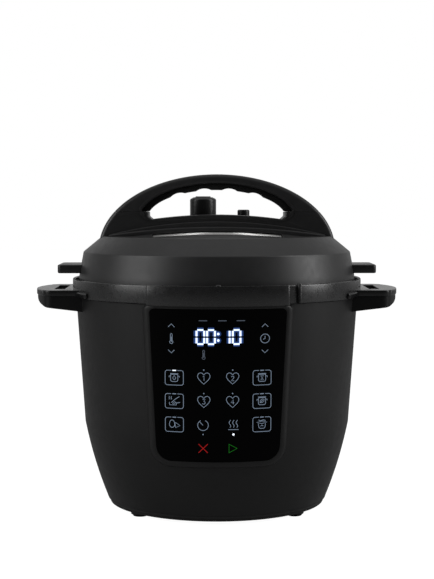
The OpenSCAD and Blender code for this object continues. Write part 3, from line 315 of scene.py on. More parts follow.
# ---- Outlines ----
def arc(centre, radius, start, end, steps):
    """Points round a centre, from angle start to angle end in degrees."""
    angles = [math.radians(start + (end - start) * i / steps) for i in range(steps + 1)]
    return [(centre[0] + radius * math.cos(a), centre[1] + radius * math.sin(a)) for a in angles]


def ellipse(half_width, half_height, centre_z, low_z, steps=48):
    """The part of an ellipse above low_z, from right to left."""
    start = math.asin((low_z - centre_z) / half_height)
    angles = [start + (math.pi - 2 * start) * i / steps for i in range(steps + 1)]
    return [(half_width * math.cos(a), centre_z + half_height * math.sin(a)) for a in angles]


def crown(half_width, end_z, top_z, steps):
    """A shallow arch from left to right."""
    rise = top_z - end_z
    radius = (half_width ** 2 + rise ** 2) / (2 * rise)
    span = math.degrees(math.asin(half_width / radius))
    return arc((0, top_z - radius), radius, 90 + span, 90 - span, steps)


def rounded(points, radii, steps=6, closed=True):
    """The points with each corner rounded by its radius."""
    out = []
    last = len(points) - 1
    for i, (point, radius) in enumerate(zip(points, radii)):
        if radius == 0 or (not closed and i in (0, last)):
            out.append(tuple(point))
            continue
        here = Vector(point)
        back = (Vector(points[i - 1]) - here).normalized()
        on = (Vector(points[(i + 1) % len(points)]) - here).normalized()
        half = back.angle(on) / 2
        centre = here + (back + on).normalized() * radius / math.sin(half)
        first = here + back * radius / math.tan(half) - centre
        second = here + on * radius / math.tan(half) - centre
        start = math.degrees(math.atan2(first.y, first.x))
        turn = (math.degrees(math.atan2(second.y, second.x)) - start + 180) % 360 - 180
        out += arc(centre, radius, start, start + turn, steps)
    return out


def box_outline(x0, x1, y0, y1, corner):
    return rounded([(x1, y0), (x1, y1), (x0, y1), (x0, y0)], [corner] * 4)


def offset(path, distance):
    """An open path moved to its left, but never past the axis."""
    legs = [Vector(b) - Vector(a) for a, b in zip(path, path[1:])]
    sides = [Vector((-leg.y, leg.x)).normalized() for leg in legs]
    out = []
    for point, before, after in zip(path, sides[:1] + sides, sides + sides[-1:]):
        shifted = Vector(point) + (before + after) * distance / (1 + before.dot(after))
        out.append((max(shifted.x, 0), shifted.y))
    return out


def walled(path, thickness):
    """A wall on the left of an open path, as one closed chain of points."""
    return list(path) + offset(path, thickness)[::-1]


def paced(points, count):
    """A closed outline as that many points, evenly apart."""
    chain = [Vector(p) for p in points] + [Vector(points[0])]
    lengths = [(b - a).length for a, b in zip(chain, chain[1:])]
    total = sum(lengths)
    out, leg, gone = [], 0, 0.0
    for i in range(count):
        target = total * i / count
        while gone + lengths[leg] < target:
            gone += lengths[leg]
            leg += 1
        out.append(tuple(chain[leg].lerp(chain[leg + 1], (target - gone) / lengths[leg])))
    return out


# ---- Shapes ----
def as_mesh(name, bm):
    """A shape as a mesh; the shape itself is used up."""
    mesh = bpy.data.meshes.new(name)
    bm.to_mesh(mesh)
    bm.free()
    return mesh


def as_seen(thing):
    """The shape of a scene object, with its modifiers."""
    bpy.context.view_layer.update()
    mesh = bpy.data.meshes.new_from_object(thing.evaluated_get(bpy.context.evaluated_depsgraph_get()))
    bm = bmesh.new()
    bm.from_mesh(mesh)
    bpy.data.meshes.remove(mesh)
    return bm


def filled(bm):
    """Each open rim filled with a face of its own."""
    bmesh.ops.holes_fill(bm, edges=[e for e in bm.edges if e.is_boundary])
    return bm


def outward(bm):
    """All faces turned outwards."""
    bmesh.ops.recalc_face_normals(bm, faces=bm.faces)
    return bm


def sliced(bm, point, facing, **clear):
    """All faces cut along a plane, and one side of it cleared if asked."""
    bmesh.ops.bisect_plane(bm, geom=bm.verts[:] + bm.edges[:] + bm.faces[:], plane_co=point,
                           plane_no=facing, **clear)
    return bm


def turned(profile, steps=160, closed=False, start=0.0, sweep=360.0, at=(0, 0)):
    """A profile of radius and height, its ends joined if closed, spun round an upright axis."""
    bm = bmesh.new()
    chain = [bm.verts.new((r, 0, z)) for r, z in profile]
    edges = [bm.edges.new(pair) for pair in zip(chain, chain[1:])]
    if closed:
        edges.append(bm.edges.new((chain[-1], chain[0])))
    whole = sweep == 360.0
    bmesh.ops.rotate(bm, verts=chain, matrix=Matrix.Rotation(math.radians(start), 3, "Z"))
    bmesh.ops.spin(bm, geom=chain + edges, axis=(0, 0, 1), angle=math.radians(sweep), steps=steps,
                   use_merge=whole)
    bmesh.ops.remove_doubles(bm, verts=bm.verts, dist=1e-4)
    if not whole:
        filled(bm)
    outward(bm)
    bmesh.ops.translate(bm, verts=bm.verts, vec=(*at, 0))
    return bm


def drum(radius, low, high, steps=160, at=(0, 0)):
    """A solid round bar on an upright axis."""
    return turned([(0, low), (radius, low), (radius, high), (0, high)], steps, at=at)


def thickened(bm, step):
    """The faces pushed out by a step, as a closed body."""
    grown = bmesh.ops.extrude_face_region(bm, geom=bm.faces[:])["geom"]
    bmesh.ops.translate(bm, verts=[g for g in grown if isinstance(g, bmesh.types.BMVert)], vec=step)
    return bm


def slab(outlines, low, high):
    """An outline of x and y, with holes if more follow, given height from low to high."""
    bm = bmesh.new()
    edges = []
    for outline in outlines:
        rim = [bm.verts.new((u, v, low)) for u, v in outline]
        edges += [bm.edges.new(pair) for pair in zip(rim, rim[1:] + rim[:1])]
    if len(outlines) == 1:
        bm.faces.new(rim)
    else:
        bmesh.ops.triangle_fill(bm, edges=edges, use_beauty=True)
    return outward(thickened(bm, (0, 0, high - low)))


def front_slab(outlines, near, far):
    """An outline of x and z, with holes if more follow, given depth from near to far."""
    bm = slab(outlines, near, far)
    upright = Matrix(((1, 0, 0), (0, 0, 1), (0, 1, 0)))
    bmesh.ops.transform(bm, matrix=upright.to_4x4(), verts=bm.verts)
    return outward(bm)


def brick(x0, x1, y0, y1, z0, z1):
    bm = bmesh.new()
    bmesh.ops.create_cube(bm, size=1)
    bmesh.ops.scale(bm, vec=(x1 - x0, y1 - y0, z1 - z0), verts=bm.verts)
    bmesh.ops.translate(bm, vec=((x0 + x1) / 2, (y0 + y1) / 2, (z0 + z1) / 2), verts=bm.verts)
    return bm


def eased(bm, width, steps, where=None, sharp=50):
    """Sharp edges rounded; where picks them by their middle."""
    limit = math.radians(sharp)
    edges = [e for e in bm.edges if e.is_manifold and e.calc_face_angle(0) > limit
             and (where is None or where((e.verts[0].co + e.verts[1].co) / 2))]
    bmesh.ops.bevel(bm, geom=edges, offset=width, offset_type="OFFSET", segments=steps, profile=0.5,
                    affect="EDGES", material=-1, clamp_overlap=True)
    return bm


def skinned(loops):
    """A skin over closed rings of points, extruded from each ring to the next."""
    bm = bmesh.new()
    rim = [bm.verts.new(p) for p in loops[0]]
    edges = [bm.edges.new(pair) for pair in zip(rim, rim[1:] + rim[:1])]
    for loop in loops[1:]:
        order = {tuple(v.co): i for i, v in enumerate(rim)}
        grown = bmesh.ops.extrude_edge_only(bm, edges=edges)["geom"]
        edges = [g for g in grown if isinstance(g, bmesh.types.BMEdge) and g.is_boundary]
        fresh = [g for g in grown if isinstance(g, bmesh.types.BMVert)]
        rim = sorted(fresh, key=lambda vert: order[tuple(vert.co)])
        for vert, point in zip(rim, loop):
            vert.co = point
    return outward(bm)


def merged(*parts):
    """Several shapes as one."""
    bm = bmesh.new()
    for part in parts:
        mesh = as_mesh("part", part)
        bm.from_mesh(mesh)
        bpy.data.meshes.remove(mesh)
    return bm


def carved(bm, cutters, operation="DIFFERENCE"):
    """A shape with the cutters taken out of it, or kept within them."""
    thing, *tools = (placed("loose", as_mesh("loose", shape)) for shape in (bm, *cutters))
    for tool in tools:
        cut = thing.modifiers.new("cut", "BOOLEAN")
        cut.object = tool
        cut.operation = operation
        cut.solver = "EXACT"
    out = as_seen(thing)
    bmesh.ops.remove_doubles(out, verts=out.verts, dist=1e-4)
    for old in [thing] + tools:
        mesh = old.data
        bpy.data.objects.remove(old)
        bpy.data.meshes.remove(mesh)
    return out


def piece(name, bm, body, material, stands_for=(), smooth=32):
    """A finished piece of the object; without a body it is left unattached."""
    bmesh.ops.scale(bm, vec=(MM, MM, MM), verts=bm.verts)
    mesh = as_mesh(name, bm)
    mesh.shade_smooth()
    mesh.set_sharp_from_angle(angle=math.radians(smooth))
    mesh.materials.append(material)
    thing = placed(name, mesh)
    if body:
        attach(thing, body)
    if stands_for:
        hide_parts(*stands_for)
    return thing


def from_node(name):
    """A merged copy of a CAD node's solids, in millimetres, with its flat faces whole."""
    bm = bmesh.new()
    bm.from_mesh(nodes[name].data)
    bmesh.ops.scale(bm, vec=(1 / MM,) * 3, verts=bm.verts)
    bmesh.ops.remove_doubles(bm, verts=bm.verts, dist=1e-3)
    bmesh.ops.dissolve_limit(bm, angle_limit=math.radians(0.5), verts=bm.verts, edges=bm.edges)
    return bm


def mirrored(bm):
    twin = bm.copy()
    bmesh.ops.scale(twin, vec=(-1, 1, 1), verts=twin.verts)
    bmesh.ops.reverse_faces(twin, faces=twin.faces)
    return twin


# ---- Housing ----
wall = 2.4
base_z, belly_z, brim_z = 9.0, 80.0, 199.0
belly_radius, brim_radius = 125.0, 133.0
bowl_centre = (-258.0, 153.66)
bowl_radius = 390.0


def housing_radius(z):
    """Outer radius of the housing: a bowl up to the belly, then a straight slope."""
    if z < belly_z:
        return bowl_centre[0] + math.sqrt(bowl_radius ** 2 - (z - bowl_centre[1]) ** 2)
    return belly_radius + (brim_radius - belly_radius) * (z - belly_z) / (brim_z - belly_z)


def on_housing(x, z, out):
    """The point of the housing's front at x and z, moved out from it."""
    return (x, -math.sqrt((housing_radius(z) + out) ** 2 - x * x), z)


heights = [base_z + (belly_z - base_z) * i / 18 for i in range(19)] + [100, 130, 160, 185, 198.4]
outside = [(housing_radius(z), z) for z in heights]
inside = [(r - wall, z) for r, z in outside[:0:-1]]
brim = [(132.7, 198.85), (132.3, brim_z), (130.9, brim_z), (130.6, 198.7)]
shell = turned(outside + brim + inside + [(102.2, 9.6), (102.5, base_z)], 192, closed=True)
panel_room, inlet_room = brick(-42, 42, -140, -60, 84, 186), brick(-14.7, 14.7, 80, 140, 12.8, 34.0)
shell = carved(shell, [panel_room, inlet_room])
piece("housing_shell", shell, "base", charcoal, ["outer_housing"])

base = eased(from_node("base_cover"), 0.25, 2, lambda p: p.z < 6)
piece("base_moulding", base, "base", deep_black, ["base_cover"])

foot_x, foot_y = 70.6, 59.7
foot_profile = rounded([(0, 0), (7, 0), (6.8, 1.9), (2.5, 1.9), (2.5, 9.1), (3.2, 9.1), (2.6, 10.6),
                        (0, 10.6)], [0, 0.8, 0.2, 0, 0, 0.2, 0.6, 0], 4)
for corner, x, y in (("front_left", -foot_x, -foot_y), ("front_right", foot_x, -foot_y),
                     ("rear_left", -foot_x, foot_y), ("rear_right", foot_x, foot_y)):
    foot = turned(foot_profile, 40, at=(x, y))
    piece("rubber_foot_" + corner, foot, "base", foot_rubber, ["foot_" + corner])

# ---- Collar ----
collar_low, collar_high = 199.2, 215.3
collar_radius, collar_inside = 136.0, 133.5
gutter_z, drain_y, hanger_start, hanger_end = 200.6, 142, 120, 152


def drain_channel():
    """Room for the channel that leads water from the collar to the cup."""
    return brick(-2.5, 2.5, 130.5, drain_y, gutter_z, 204.6)


ring_profile = rounded(
    [(collar_radius, collar_low), (collar_radius, collar_high), (collar_inside, collar_high),
     (collar_inside, gutter_z), (117.3, gutter_z), (117.3, 203.0), (115.0, 203.0), (115.0, collar_low),
     (125.6, collar_low), (125.6, 193.2), (128.4, 193.2), (129.4, collar_low)],
    [0.4, 1.15, 1.15, 1.6, 1.0, 0.4, 0.4, 0.3, 0, 0.4, 0.4, 0], 5)
hanger = eased(slab([box_outline(-33, 33, hanger_start, hanger_end, 3)], collar_low, 201.6), 0.5, 2)
drain_hole = drum(2.5, 190, 204, 32, (0, drain_y))
hanger = carved(carved(hanger, [drum(134.8, 190, 210)]), [drain_channel(), drain_hole])
rails = []
for side in (-1, 1):
    web_x, lip_x = side * 31.75, side * 30.5
    rail = merged(brick(web_x - 1.25, web_x + 1.25, hanger_start, hanger_end, 192.2, 200.4),
                  brick(lip_x - 2.5, lip_x + 2.5, hanger_start, hanger_end, 192.2, 193.8))
    rail_room = turned([(0, 180), (132.6, 180), (132.6, 200), (134.8, 200), (134.8, 210), (0, 210)])
    rails.append(carved(rail, [rail_room]))
collar = merged(carved(turned(ring_profile, 192, closed=True), [drain_channel()]), hanger, *rails)
piece("collar_ring", collar, "base", collar_charcoal, ["condensation_collar"])

band_in, band_out, band_low = 136.1, 139.0, 198.0
band_span = 2 * math.degrees(math.asin(63 / band_out))


def at_band_end(p):
    """On one of the two upright outer edges of the front band."""
    turn = abs(math.atan2(p.x, -p.y))
    return turn > math.radians(band_span / 2 - 1) and p.xy.length > band_out - 0.2 and 199 < p.z < 215


band_profile = [(band_in, band_low), (band_out, band_low), (band_out, collar_high),
                (band_in, collar_high)]
band = turned(band_profile, 48, closed=True, start=-90 - band_span / 2, sweep=band_span)
eased(band, 2.7, 6, at_band_end)
eased(band, 0.8, 3, lambda p: p.xy.length > 137.5)
nub = turned([(0, 214), (2.7, 214), (2.7, 216.0), (2.2, 216.5), (0, 216.5)], 32, at=(0, -136.3))
nub = carved(nub, [brick(-5, 5, -137.6, -120, 200, 220)])
rib = slab([arc((137.3, 0), 1.7, -90, 90, 12) + [(band_in, 1.7), (band_in, -1.7)]], 199.4, 216.7)
eased(rib, 0.7, 3, lambda p: p.z > 216, 60)
bmesh.ops.rotate(rib, verts=rib.verts, matrix=Matrix.Rotation(math.radians(-59), 3, "Z"))
piece("collar_front_band", merged(band, nub, rib), "base", collar_charcoal,
      ["collar_front_plate"])

# ---- Side handles ----
handle_low, handle_high, handle_root = 200.4, 205.8, 100


def handle_plan(inset):
    """Plan of a side handle: straight sides, rounded corners and a curved end."""
    corner, curve, middle, side = 10 - inset, 96 - inset, 74, 38
    x = middle + math.sqrt((curve - corner) ** 2 - side ** 2)
    turn = math.degrees(math.atan2(side, x - middle))
    return ([(handle_root, -side - corner)] + arc((x, -side), corner, -90, -turn, 8)
            + arc((middle, 0), curve, -turn, turn, 32) + arc((x, side), corner, turn, 90, 8)
            + [(handle_root, side + corner)])


handle = slab([handle_plan(0)], handle_low, handle_high)
eased(handle, 2.3, 6, lambda p: p.z > 205 and p.x > handle_root + 1)
eased(handle, 1.2, 4, lambda p: p.z < 201 and p.x > handle_root + 1)
slot_room = slab([box_outline(142, 152, -28.5, 28.5, 1.5)], 195, 210)
handle = carved(handle, [slot_room, drum(134.9, 190, 220)])
eased(handle, 0.7, 3, lambda p: 141 < p.x < 153 and abs(p.y) < 29.5)
tabs = []
for side in (-1, 1):
    tab = turned([(135, 199.5), (138.6, 199.5), (138.6, 204.6), (135, 204.6)], 16, closed=True,
                 start=side * 22.5 - 8.5, sweep=17)
    tabs.append(eased(tab, 1.5, 4))
handle = merged(handle, *tabs)

under_side = rounded([(169.2, 200.3), (167, 194.4), (157.5, 190), (handle_root, 183.2),
                      (handle_root, 200.3)], [0.5, 10, 14, 0, 0], 10)
under = carved(front_slab([under_side], -47.2, 47.2), [slab([handle_plan(0.8)], 170, 210)], "INTERSECT")
eased(under, 0.9, 3, lambda p: p.z < 199 and p.x > 120)
pocket = carved(slab([handle_plan(3.4)], 170, 199.2), [brick(139, 160, -50, 50, 160, 210)], "INTERSECT")
throat = turned([(0, 170), (housing_radius(180) - 0.6, 170), (housing_radius(200) - 0.6, 200.35),
                 (0, 200.35)])
pocket_mouth = slab([box_outline(141, 153, -29.5, 29.5, 2)], 198, 202)
under = carved(carved(under, [pocket, throat]), [pocket_mouth])
for side, top, low in (("right", handle, under), ("left", mirrored(handle), mirrored(under))):
    piece("side_grip_" + side, top, "base", plate_black, ["side_handle_" + side])
    # Each shell takes the darker plastic, with painted shade under the plate.
    piece("side_grip_shell_" + side, low, "base", shell_black_painted_shade,
          ["handle_shell_" + side])

# ---- Control panel ----
glass_low, glass_high, panel_top = 61.6, 195.2, 197.8
glass_out, glass_thickness = 2.95, 1.6


def panel_half(z):
    """Half width of the glass at height z."""
    return 53.2 + 6.2 * (z - glass_low) / (glass_high - glass_low)


def panel_outline(grow):
    """The outline of the glass, grown all round but not above the panel's top."""
    low, high = glass_low - grow, min(glass_high + grow, panel_top)
    wide_low, wide_high = panel_half(low) + grow, panel_half(high) + grow
    corner_low, corner_high = 13 + grow, 4
    return rounded([(0, low), (wide_low, low), (wide_high, high), (-wide_high, high), (-wide_low, low)],
                   [0, corner_low, corner_high, corner_high, corner_low], 10)


# Each step of the bezel's section: how far out from the glass's outline, and from the housing.
bezel_steps = ((6.4, -0.3), (6.1, 0.5), (5.6, 1.5), (4.9, 2.3), (4.0, 2.8), (3.0, 3.0), (0.55, 3.0),
               (0.25, 2.85), (0.18, 2.5), (0.18, 1.0))
bezel = skinned([[on_housing(x, z, out) for x, z in paced(panel_outline(grow), 300)]
                 for grow, out in bezel_steps])
piece("panel_surround", bezel, "base", charcoal, ["panel_bezel"], smooth=50)

glass = bmesh.new()
glass.faces.new([glass.verts.new((x, 0, z)) for x, z in panel_outline(0)])
for i in range(-14, 15):
    sliced(glass, (i * 4.0, 0, 0), (1, 0, 0))
for i in range(1, 17):
    sliced(glass, (0, 0, glass_low + i * 8.0), (0, 0, 1))
thickened(glass, (0, glass_thickness, 0))
for vert in glass.verts:
    vert.co = on_housing(vert.co.x, vert.co.z, glass_out - vert.co.y)
glass = eased(outward(glass), 0.35, 2, sharp=60)
piece("touch_glass", glass, "base", panel_black, ["control_glass"])

print_rise = 0.04


def strokes(name, lines, width, material, out=2.99):
    """Printed lines on the glass; a line is closed if it ends where it starts."""
    curve = bpy.data.curves.new(name, "CURVE")
    curve.dimensions = "3D"
    curve.bevel_depth = width / 2
    curve.bevel_resolution = 1
    curve.use_fill_caps = True
    for line in lines:
        joined = line[0] == line[-1]
        points = line[:-1] if joined else line
        spline = curve.splines.new("POLY")
        spline.points.add(len(points) - 1)
        for point, (x, z) in zip(spline.points, points):
            point.co = (x, 0, z, 1)
        spline.use_cyclic_u = joined
    holder = placed(name, curve)
    bm = as_seen(holder)
    bpy.data.objects.remove(holder)
    bpy.data.curves.remove(curve)
    bmesh.ops.subdivide_edges(bm, edges=[e for e in bm.edges if e.calc_length() > 3], cuts=2)
    for vert in bm.verts:
        vert.co = on_housing(vert.co.x, vert.co.z, out - vert.co.y * print_rise / (width / 2))
    return piece(name, bm, "base", material, smooth=80)


def moved(lines, x, z, scale=1.0):
    return [[(x + u * scale, z + v * scale) for u, v in line] for line in lines]


def ring(x, z, radius, steps=28):
    return arc((x, z), radius, 0, 360, steps)[:-1] + [(x + radius, z)]


def looped(points):
    """The points, with the first once more at the end."""
    return list(points) + [points[0]]


heart_half = [(0, -5.0), (1.9, -3.3), (4.0, -1.2), (5.2, 0.8), (5.4, 2.4), (4.6, 4.1), (3.0, 4.9),
              (1.4, 4.5), (0.4, 3.4), (0, 3.0)]
heart = looped(heart_half + [(-u, v) for u, v in heart_half[-2:0:-1]])
numerals = {
    "1": [(-0.8, 1.3), (0.2, 2.0), (0.2, -2.0)],
    "2": [(-1.1, 1.2), (-0.6, 1.9), (0.5, 1.9), (1.1, 1.2), (0.9, 0.3), (-1.2, -2.0), (1.2, -2.0)],
    "3": [(-1.0, 2.0), (1.1, 2.0), (-0.1, 0.4), (0.9, 0.1), (1.2, -0.8), (0.6, -1.9), (-0.5, -2.0),
          (-1.2, -1.4)],
    "4": [(0.6, -2.0), (0.6, 2.0), (-1.3, -0.8), (1.3, -0.8)],
}
icon_frame = [[(2.7, 6.4)] + rounded([(7.9, 6.4), (7.9, -6.4), (-7.9, -6.4), (-7.9, 6.4)], [2.0] * 4, 5)
              + [(-2.7, 6.4)]]
pot_outline = rounded([(-3.4, -3.6), (3.4, -3.6), (3.4, 3.2), (-3.4, 3.2)], [1.6, 1.6, 0.6, 0.6], 4)
pot_icon = [looped(pot_outline), [(-3.4, 1.6), (-4.8, 1.6), (-4.8, 0.4)],
            [(3.4, 1.6), (4.8, 1.6), (4.8, 0.4)], [(-3.8, 3.9), (3.8, 3.9)]]
drop_icon = [looped([(0, 2.2), (1.3, 0.2), (1.2, -1.0), (0, -1.9), (-1.2, -1.0), (-1.3, 0.2)])]
hourglass_icon = [looped([(-1.4, 2.0), (1.4, 2.0), (-1.4, -2.2), (1.4, -2.2)])]
leaf_icon = [[(-1.8, -1.6), (-1.6, 0.6), (0.2, 1.9), (2.0, 1.6), (1.6, -0.4), (0, -1.6), (-1.8, -1.6)],
             [(-1.8, -1.6), (0.8, 0.8)]]
pan_icon = [[(-4.4, -1.0), (-4.0, -3.4), (1.6, -3.4), (2.2, -1.0)],
            [(-2.6, -1.4), (1.2, 2.0), (4.4, 4.2)], [(2.2, -1.6), (5.0, -1.0)],
            looped([(-1.6, -2.0), (0.4, -0.4), (1.2, -1.4), (-0.6, -2.8)])]
pan_icon += [[(x, 1.4), (x + 0.5, 2.3), (x, 3.2), (x + 0.5, 4.1)] for x in (-4.6, -2.9)]
egg_turns = [math.radians(15 * i) for i in range(24)]
egg_icon = [looped([(-2.0 + 2.3 * math.cos(a), 0.2 + (3.7 if math.sin(a) > 0 else 2.9) * math.sin(a))
                    for a in egg_turns]),
            looped([(1.0, -2.8), (4.9, -0.8), (1.2, 1.6), (0.5, 1.4), (0.7, -1.0)])]
bowl_icon = [[(-3.2, 0.8), (-2.6, -2.6), (-1.4, -3.6), (1.8, -3.6), (2.8, -2.4), (3.2, 0.8)],
             looped([(-4.6, 1.8), (0, 0.6), (4.6, 1.8), (0, 3.0)]),
             [(-3.0, 3.9), (-1.0, 3.2), (1.2, 3.9), (3.2, 3.2)], [(-1.2, -1.6), (0, -0.8), (1.2, -1.6)]]
thermometer = [looped([(-0.75, 3.6), (-0.75, -1.8), (-1.5, -3.0), (-0.9, -4.2), (0, -4.5), (0.9, -4.2),
                       (1.5, -3.0), (0.75, -1.8), (0.75, 3.6), (0, 4.3)]),
               [(0, -3.0), (0, 1.6)]]

column, inner_column, outer_column = 12.4, 37.9, 40.3
row_one, row_two, row_three = rows = (135.7, 115.2, 94.6)
icons = []
for side in (-1, 1):
    icons += moved([[(-2.7, -1.3), (0, 1.4), (2.7, -1.3)]], side * outer_column, 181.2)
    icons += moved([[(-2.7, 1.3), (0, -1.4), (2.7, 1.3)]], side * outer_column, 158.7)
icons += moved(thermometer, -outer_column, 169.9) + [ring(outer_column, 169.8, 3.9)]
icons += moved([[(0, 2.2), (0, 0), (-1.6, -0.6)]], outer_column, 169.8)
for side in (-1, 1):
    for row in rows:
        icons += moved(icon_frame, side * inner_column, row)
for icon, x, row, scale in (
        (pot_icon + drop_icon, -inner_column, row_one, 0.92),
        (pot_icon + hourglass_icon, inner_column, row_one, 0.92),
        (pan_icon, -inner_column, row_two, 1), (pot_icon + leaf_icon, inner_column, row_two, 0.92),
        (egg_icon, -inner_column, row_three, 1), (bowl_icon, inner_column, row_three, 1)):
    icons += moved(icon, x, row, scale)
for numeral, x, z in (("1", -column, row_one), ("2", column, row_one),
                      ("3", -column, row_two), ("4", column, row_two)):
    icons += moved([heart, numerals[numeral]], x, z)
    icons.append(ring(x, z + 7.3, 0.35, 8))
icons += [arc((-13.1, row_three), 4.6, 115, 425, 26), [(-13.1, row_three), (-16.4, row_three + 3.4)]]
icons.append(ring(-13.1, 86.5, 0.35, 8))
for x in (-3.0, 0, 3.0):
    icons.append([(13.1 + x + 0.7 * math.sin(i * 0.9), 92.6 + i * 0.82) for i in range(9)])
icons.append([(8.6, 90.8), (17.6, 90.8)])
strokes("printed_icons", icons, 0.56, icon_print)
dashes = [[(x - 3.6, 185.7), (x + 3.6, 185.7)] for x in (-13.1, 3.5, 19.3)]
strokes("status_dashes", dashes, 0.8, faint_print)
first_bar, *other_bars = [[(x - 1.6, row + 6.4), (x + 1.6, row + 6.4)]
                          for x in (-inner_column, inner_column) for row in rows]
strokes("indicator_bars", other_bars, 0.9, icon_print)
strokes("lit_marks", [first_bar, ring(13.2, 86.5, 0.55, 10)], 1.1, lit_white)
strokes("small_thermometer", moved(thermometer, -12.5, 156.4, 0.92), 0.6, faint_print)
cross = moved([[(-4.0, -4.0), (4.0, 4.0)], [(-4.0, 4.0), (4.0, -4.0)]], -13.0, 74.0)
strokes("stop_mark", cross, 0.75, stop_red)
arrow = moved([looped([(-3.5, -3.9), (3.5, 0), (-3.5, 3.9)])], 12.9, 74.0)
strokes("start_mark", arrow, 0.75, start_green)

bar_x, bar_z, bar_gap = 3.3, 6.1, 0.7
level_bars = [[(bar_gap - bar_x, z), (bar_x - bar_gap, z)] for z in (bar_z, -bar_z)]
left_bars, right_bars = ([[(x, bar_gap), (x, bar_z - bar_gap)], [(x, -bar_gap), (x, bar_gap - bar_z)]]
                         for x in (-bar_x, bar_x))
zero, one = level_bars + left_bars + right_bars, right_bars
numbers = [ring(0, 174.3, 0.4, 10), ring(0, 168.7, 0.4, 10)]
for digit, x in ((zero, -15.3), (zero, -6.2), (one, 6.4), (zero, 15.7)):
    numbers += moved(digit, x, 171.6)
strokes("clock_far_glow", numbers, 5.2, far_glow, 2.955)
strokes("clock_near_glow", numbers, 3.2, near_glow, 2.985)
strokes("clock_digits", numbers, 1.6, lit_digits, 3.03)

# ---- Lid ----
crown_rise, crown_edge, lid_edge = 5.0, 85.0, (108.0, 254.6)


def crown_line(drop):
    """The domed middle of the lid's top, from its edge in to the axis, lowered by drop."""
    steps = 12
    return [(crown_edge * i / steps, lid_edge[1] + crown_rise * (1 - (i / steps) ** 2) - drop)
            for i in range(steps, -1, -1)]


cover_path = rounded([(130.9, 204.8), (129.9, 218.5), (125.8, 240.0), lid_edge, (96, lid_edge[1])],
                     [0, 40, 2.2, 1.8, 0], 8, closed=False)
# Both skins' lower rims are filled on their own: a flat double face across the cover's foot.
cover = filled(turned(walled(cover_path + crown_line(0), 2.0), 192))
front_window = slab([box_outline(-60, 60, -58, -21, 2.5)], 240, 275)
rear_window = slab([box_outline(-64, 64, 28, 90, 2.5)], 240, 275)
rear_window = carved(rear_window, [drum(84, 240, 275, 128)], "INTERSECT")
cover = carved(cover, [front_window, rear_window])
piece("lid_cover_moulding", cover, "lid", lid_charcoal, ["lid_cover"], smooth=28)

fin = eased(slab([box_outline(100, 148.7, -25, 25, 3.5)], 220.2, 228.2), 1.3, 4)
fin = carved(fin, [drum(127.8, 200, 240)])
for side, shape in (("right", fin), ("left", mirrored(fin))):
    piece("lid_rest_fin_" + side, shape, "lid", black_plastic, ["lid_fin_" + side])

# ---- Lid handle ----
arch_half, arch_rise, arch_centre = 110.7, 70.0, 242.4
grip_half, grip_rise, grip_centre = 72.5, 33.7, 270.0
split_z, bar_z, split_gap = 277.4, 274.4, 0.12
handle_half_depth = 20


def handle_depth(z):
    """Half depth of the handle at height z."""
    return handle_half_depth - 5 * min(max((z - bar_z) / 35.0, 0), 1)


def lid_room():
    """Room taken by the lid under the handle."""
    return turned([(0, 200), (118, 200), (118, 246), (109.5, 253.4), (108, 254.75)] + crown_line(-0.15))


def on_arch(p):
    """On the outline of the arch, above its ends."""
    return (p.x / arch_half) ** 2 + ((p.z - arch_centre) / arch_rise) ** 2 > 0.985 and p.z > 250.5


def in_bar_corner(p):
    """On one of the opening's lower corners, at the handle's face."""
    return 60.5 < abs(p.x) < 66 and 270 < p.z < 277 and abs(p.y) > 15


def on_opening(p):
    """On the rim of the finger opening."""
    return (p.x / 74) ** 2 + ((p.z - grip_centre) / 35.5) ** 2 < 1.02 and p.z > 268


outer_loop = ellipse(arch_half, arch_rise, arch_centre, 246, 72)
opening = ellipse(grip_half, grip_rise, grip_centre, split_z) + rounded(
    [(-63.8, split_z - 0.4), (-63.8, 273), (-60.3, 270.2)] + crown(59.5, 270.4, bar_z, 20)
    + [(60.3, 270.2), (63.8, 273), (63.8, split_z - 0.4)],
    [0, 2.6] + [0] * 23 + [2.6, 0], 5, closed=False)
whole = front_slab([outer_loop, opening], -handle_half_depth, handle_half_depth)
for vert in whole.verts:
    vert.co.y *= handle_depth(vert.co.z) / handle_half_depth
eased(whole, 4.0, 6, on_arch)
eased(whole, 3.2, 5, in_bar_corner)
eased(whole, 0.9, 3, on_opening, 60)
upper = outward(filled(sliced(whole.copy(), (0, 0, split_z + split_gap), (0, 0, 1), clear_inner=True)))
lower = outward(filled(sliced(whole, (0, 0, split_z - split_gap), (0, 0, 1), clear_outer=True)))
lower = carved(lower, [lid_room()])

lip_proud, lip_back = 0.45, 18
lip_front = handle_half_depth + lip_proud


def lip(low, high):
    """Fine rim round the finger opening, standing proud of the handle's face."""
    outer = ellipse(76, 35.9, grip_centre, 281) + rounded(
        [(-72.1, 278.6), (-71.2, 274.4), (-66.2, 269.6), (-54, 268.4)] + crown(52, 268.5, 270.9, 12)
        + [(54, 268.4), (66.2, 269.6), (71.2, 274.4), (72.1, 278.6)],
        [0, 4, 4] + [0] * 15 + [4, 4, 0], 6, closed=False)
    inner = ellipse(73.1, 34.2, grip_centre, 278.3) + rounded(
        [(-68.2, 277.4), (-67.6, 273.2), (-62, 268.9)] + crown(58, 269.6, 273.7, 12)
        + [(62, 268.9), (67.6, 273.2), (68.2, 277.4)], [0, 3] + [0] * 15 + [3, 0], 5, closed=False)
    shape = front_slab([outer, inner], low, high)
    for vert in shape.verts:
        vert.co.y *= (handle_depth(vert.co.z) + lip_proud) / lip_front
    return eased(shape, 0.35, 2, sharp=60)


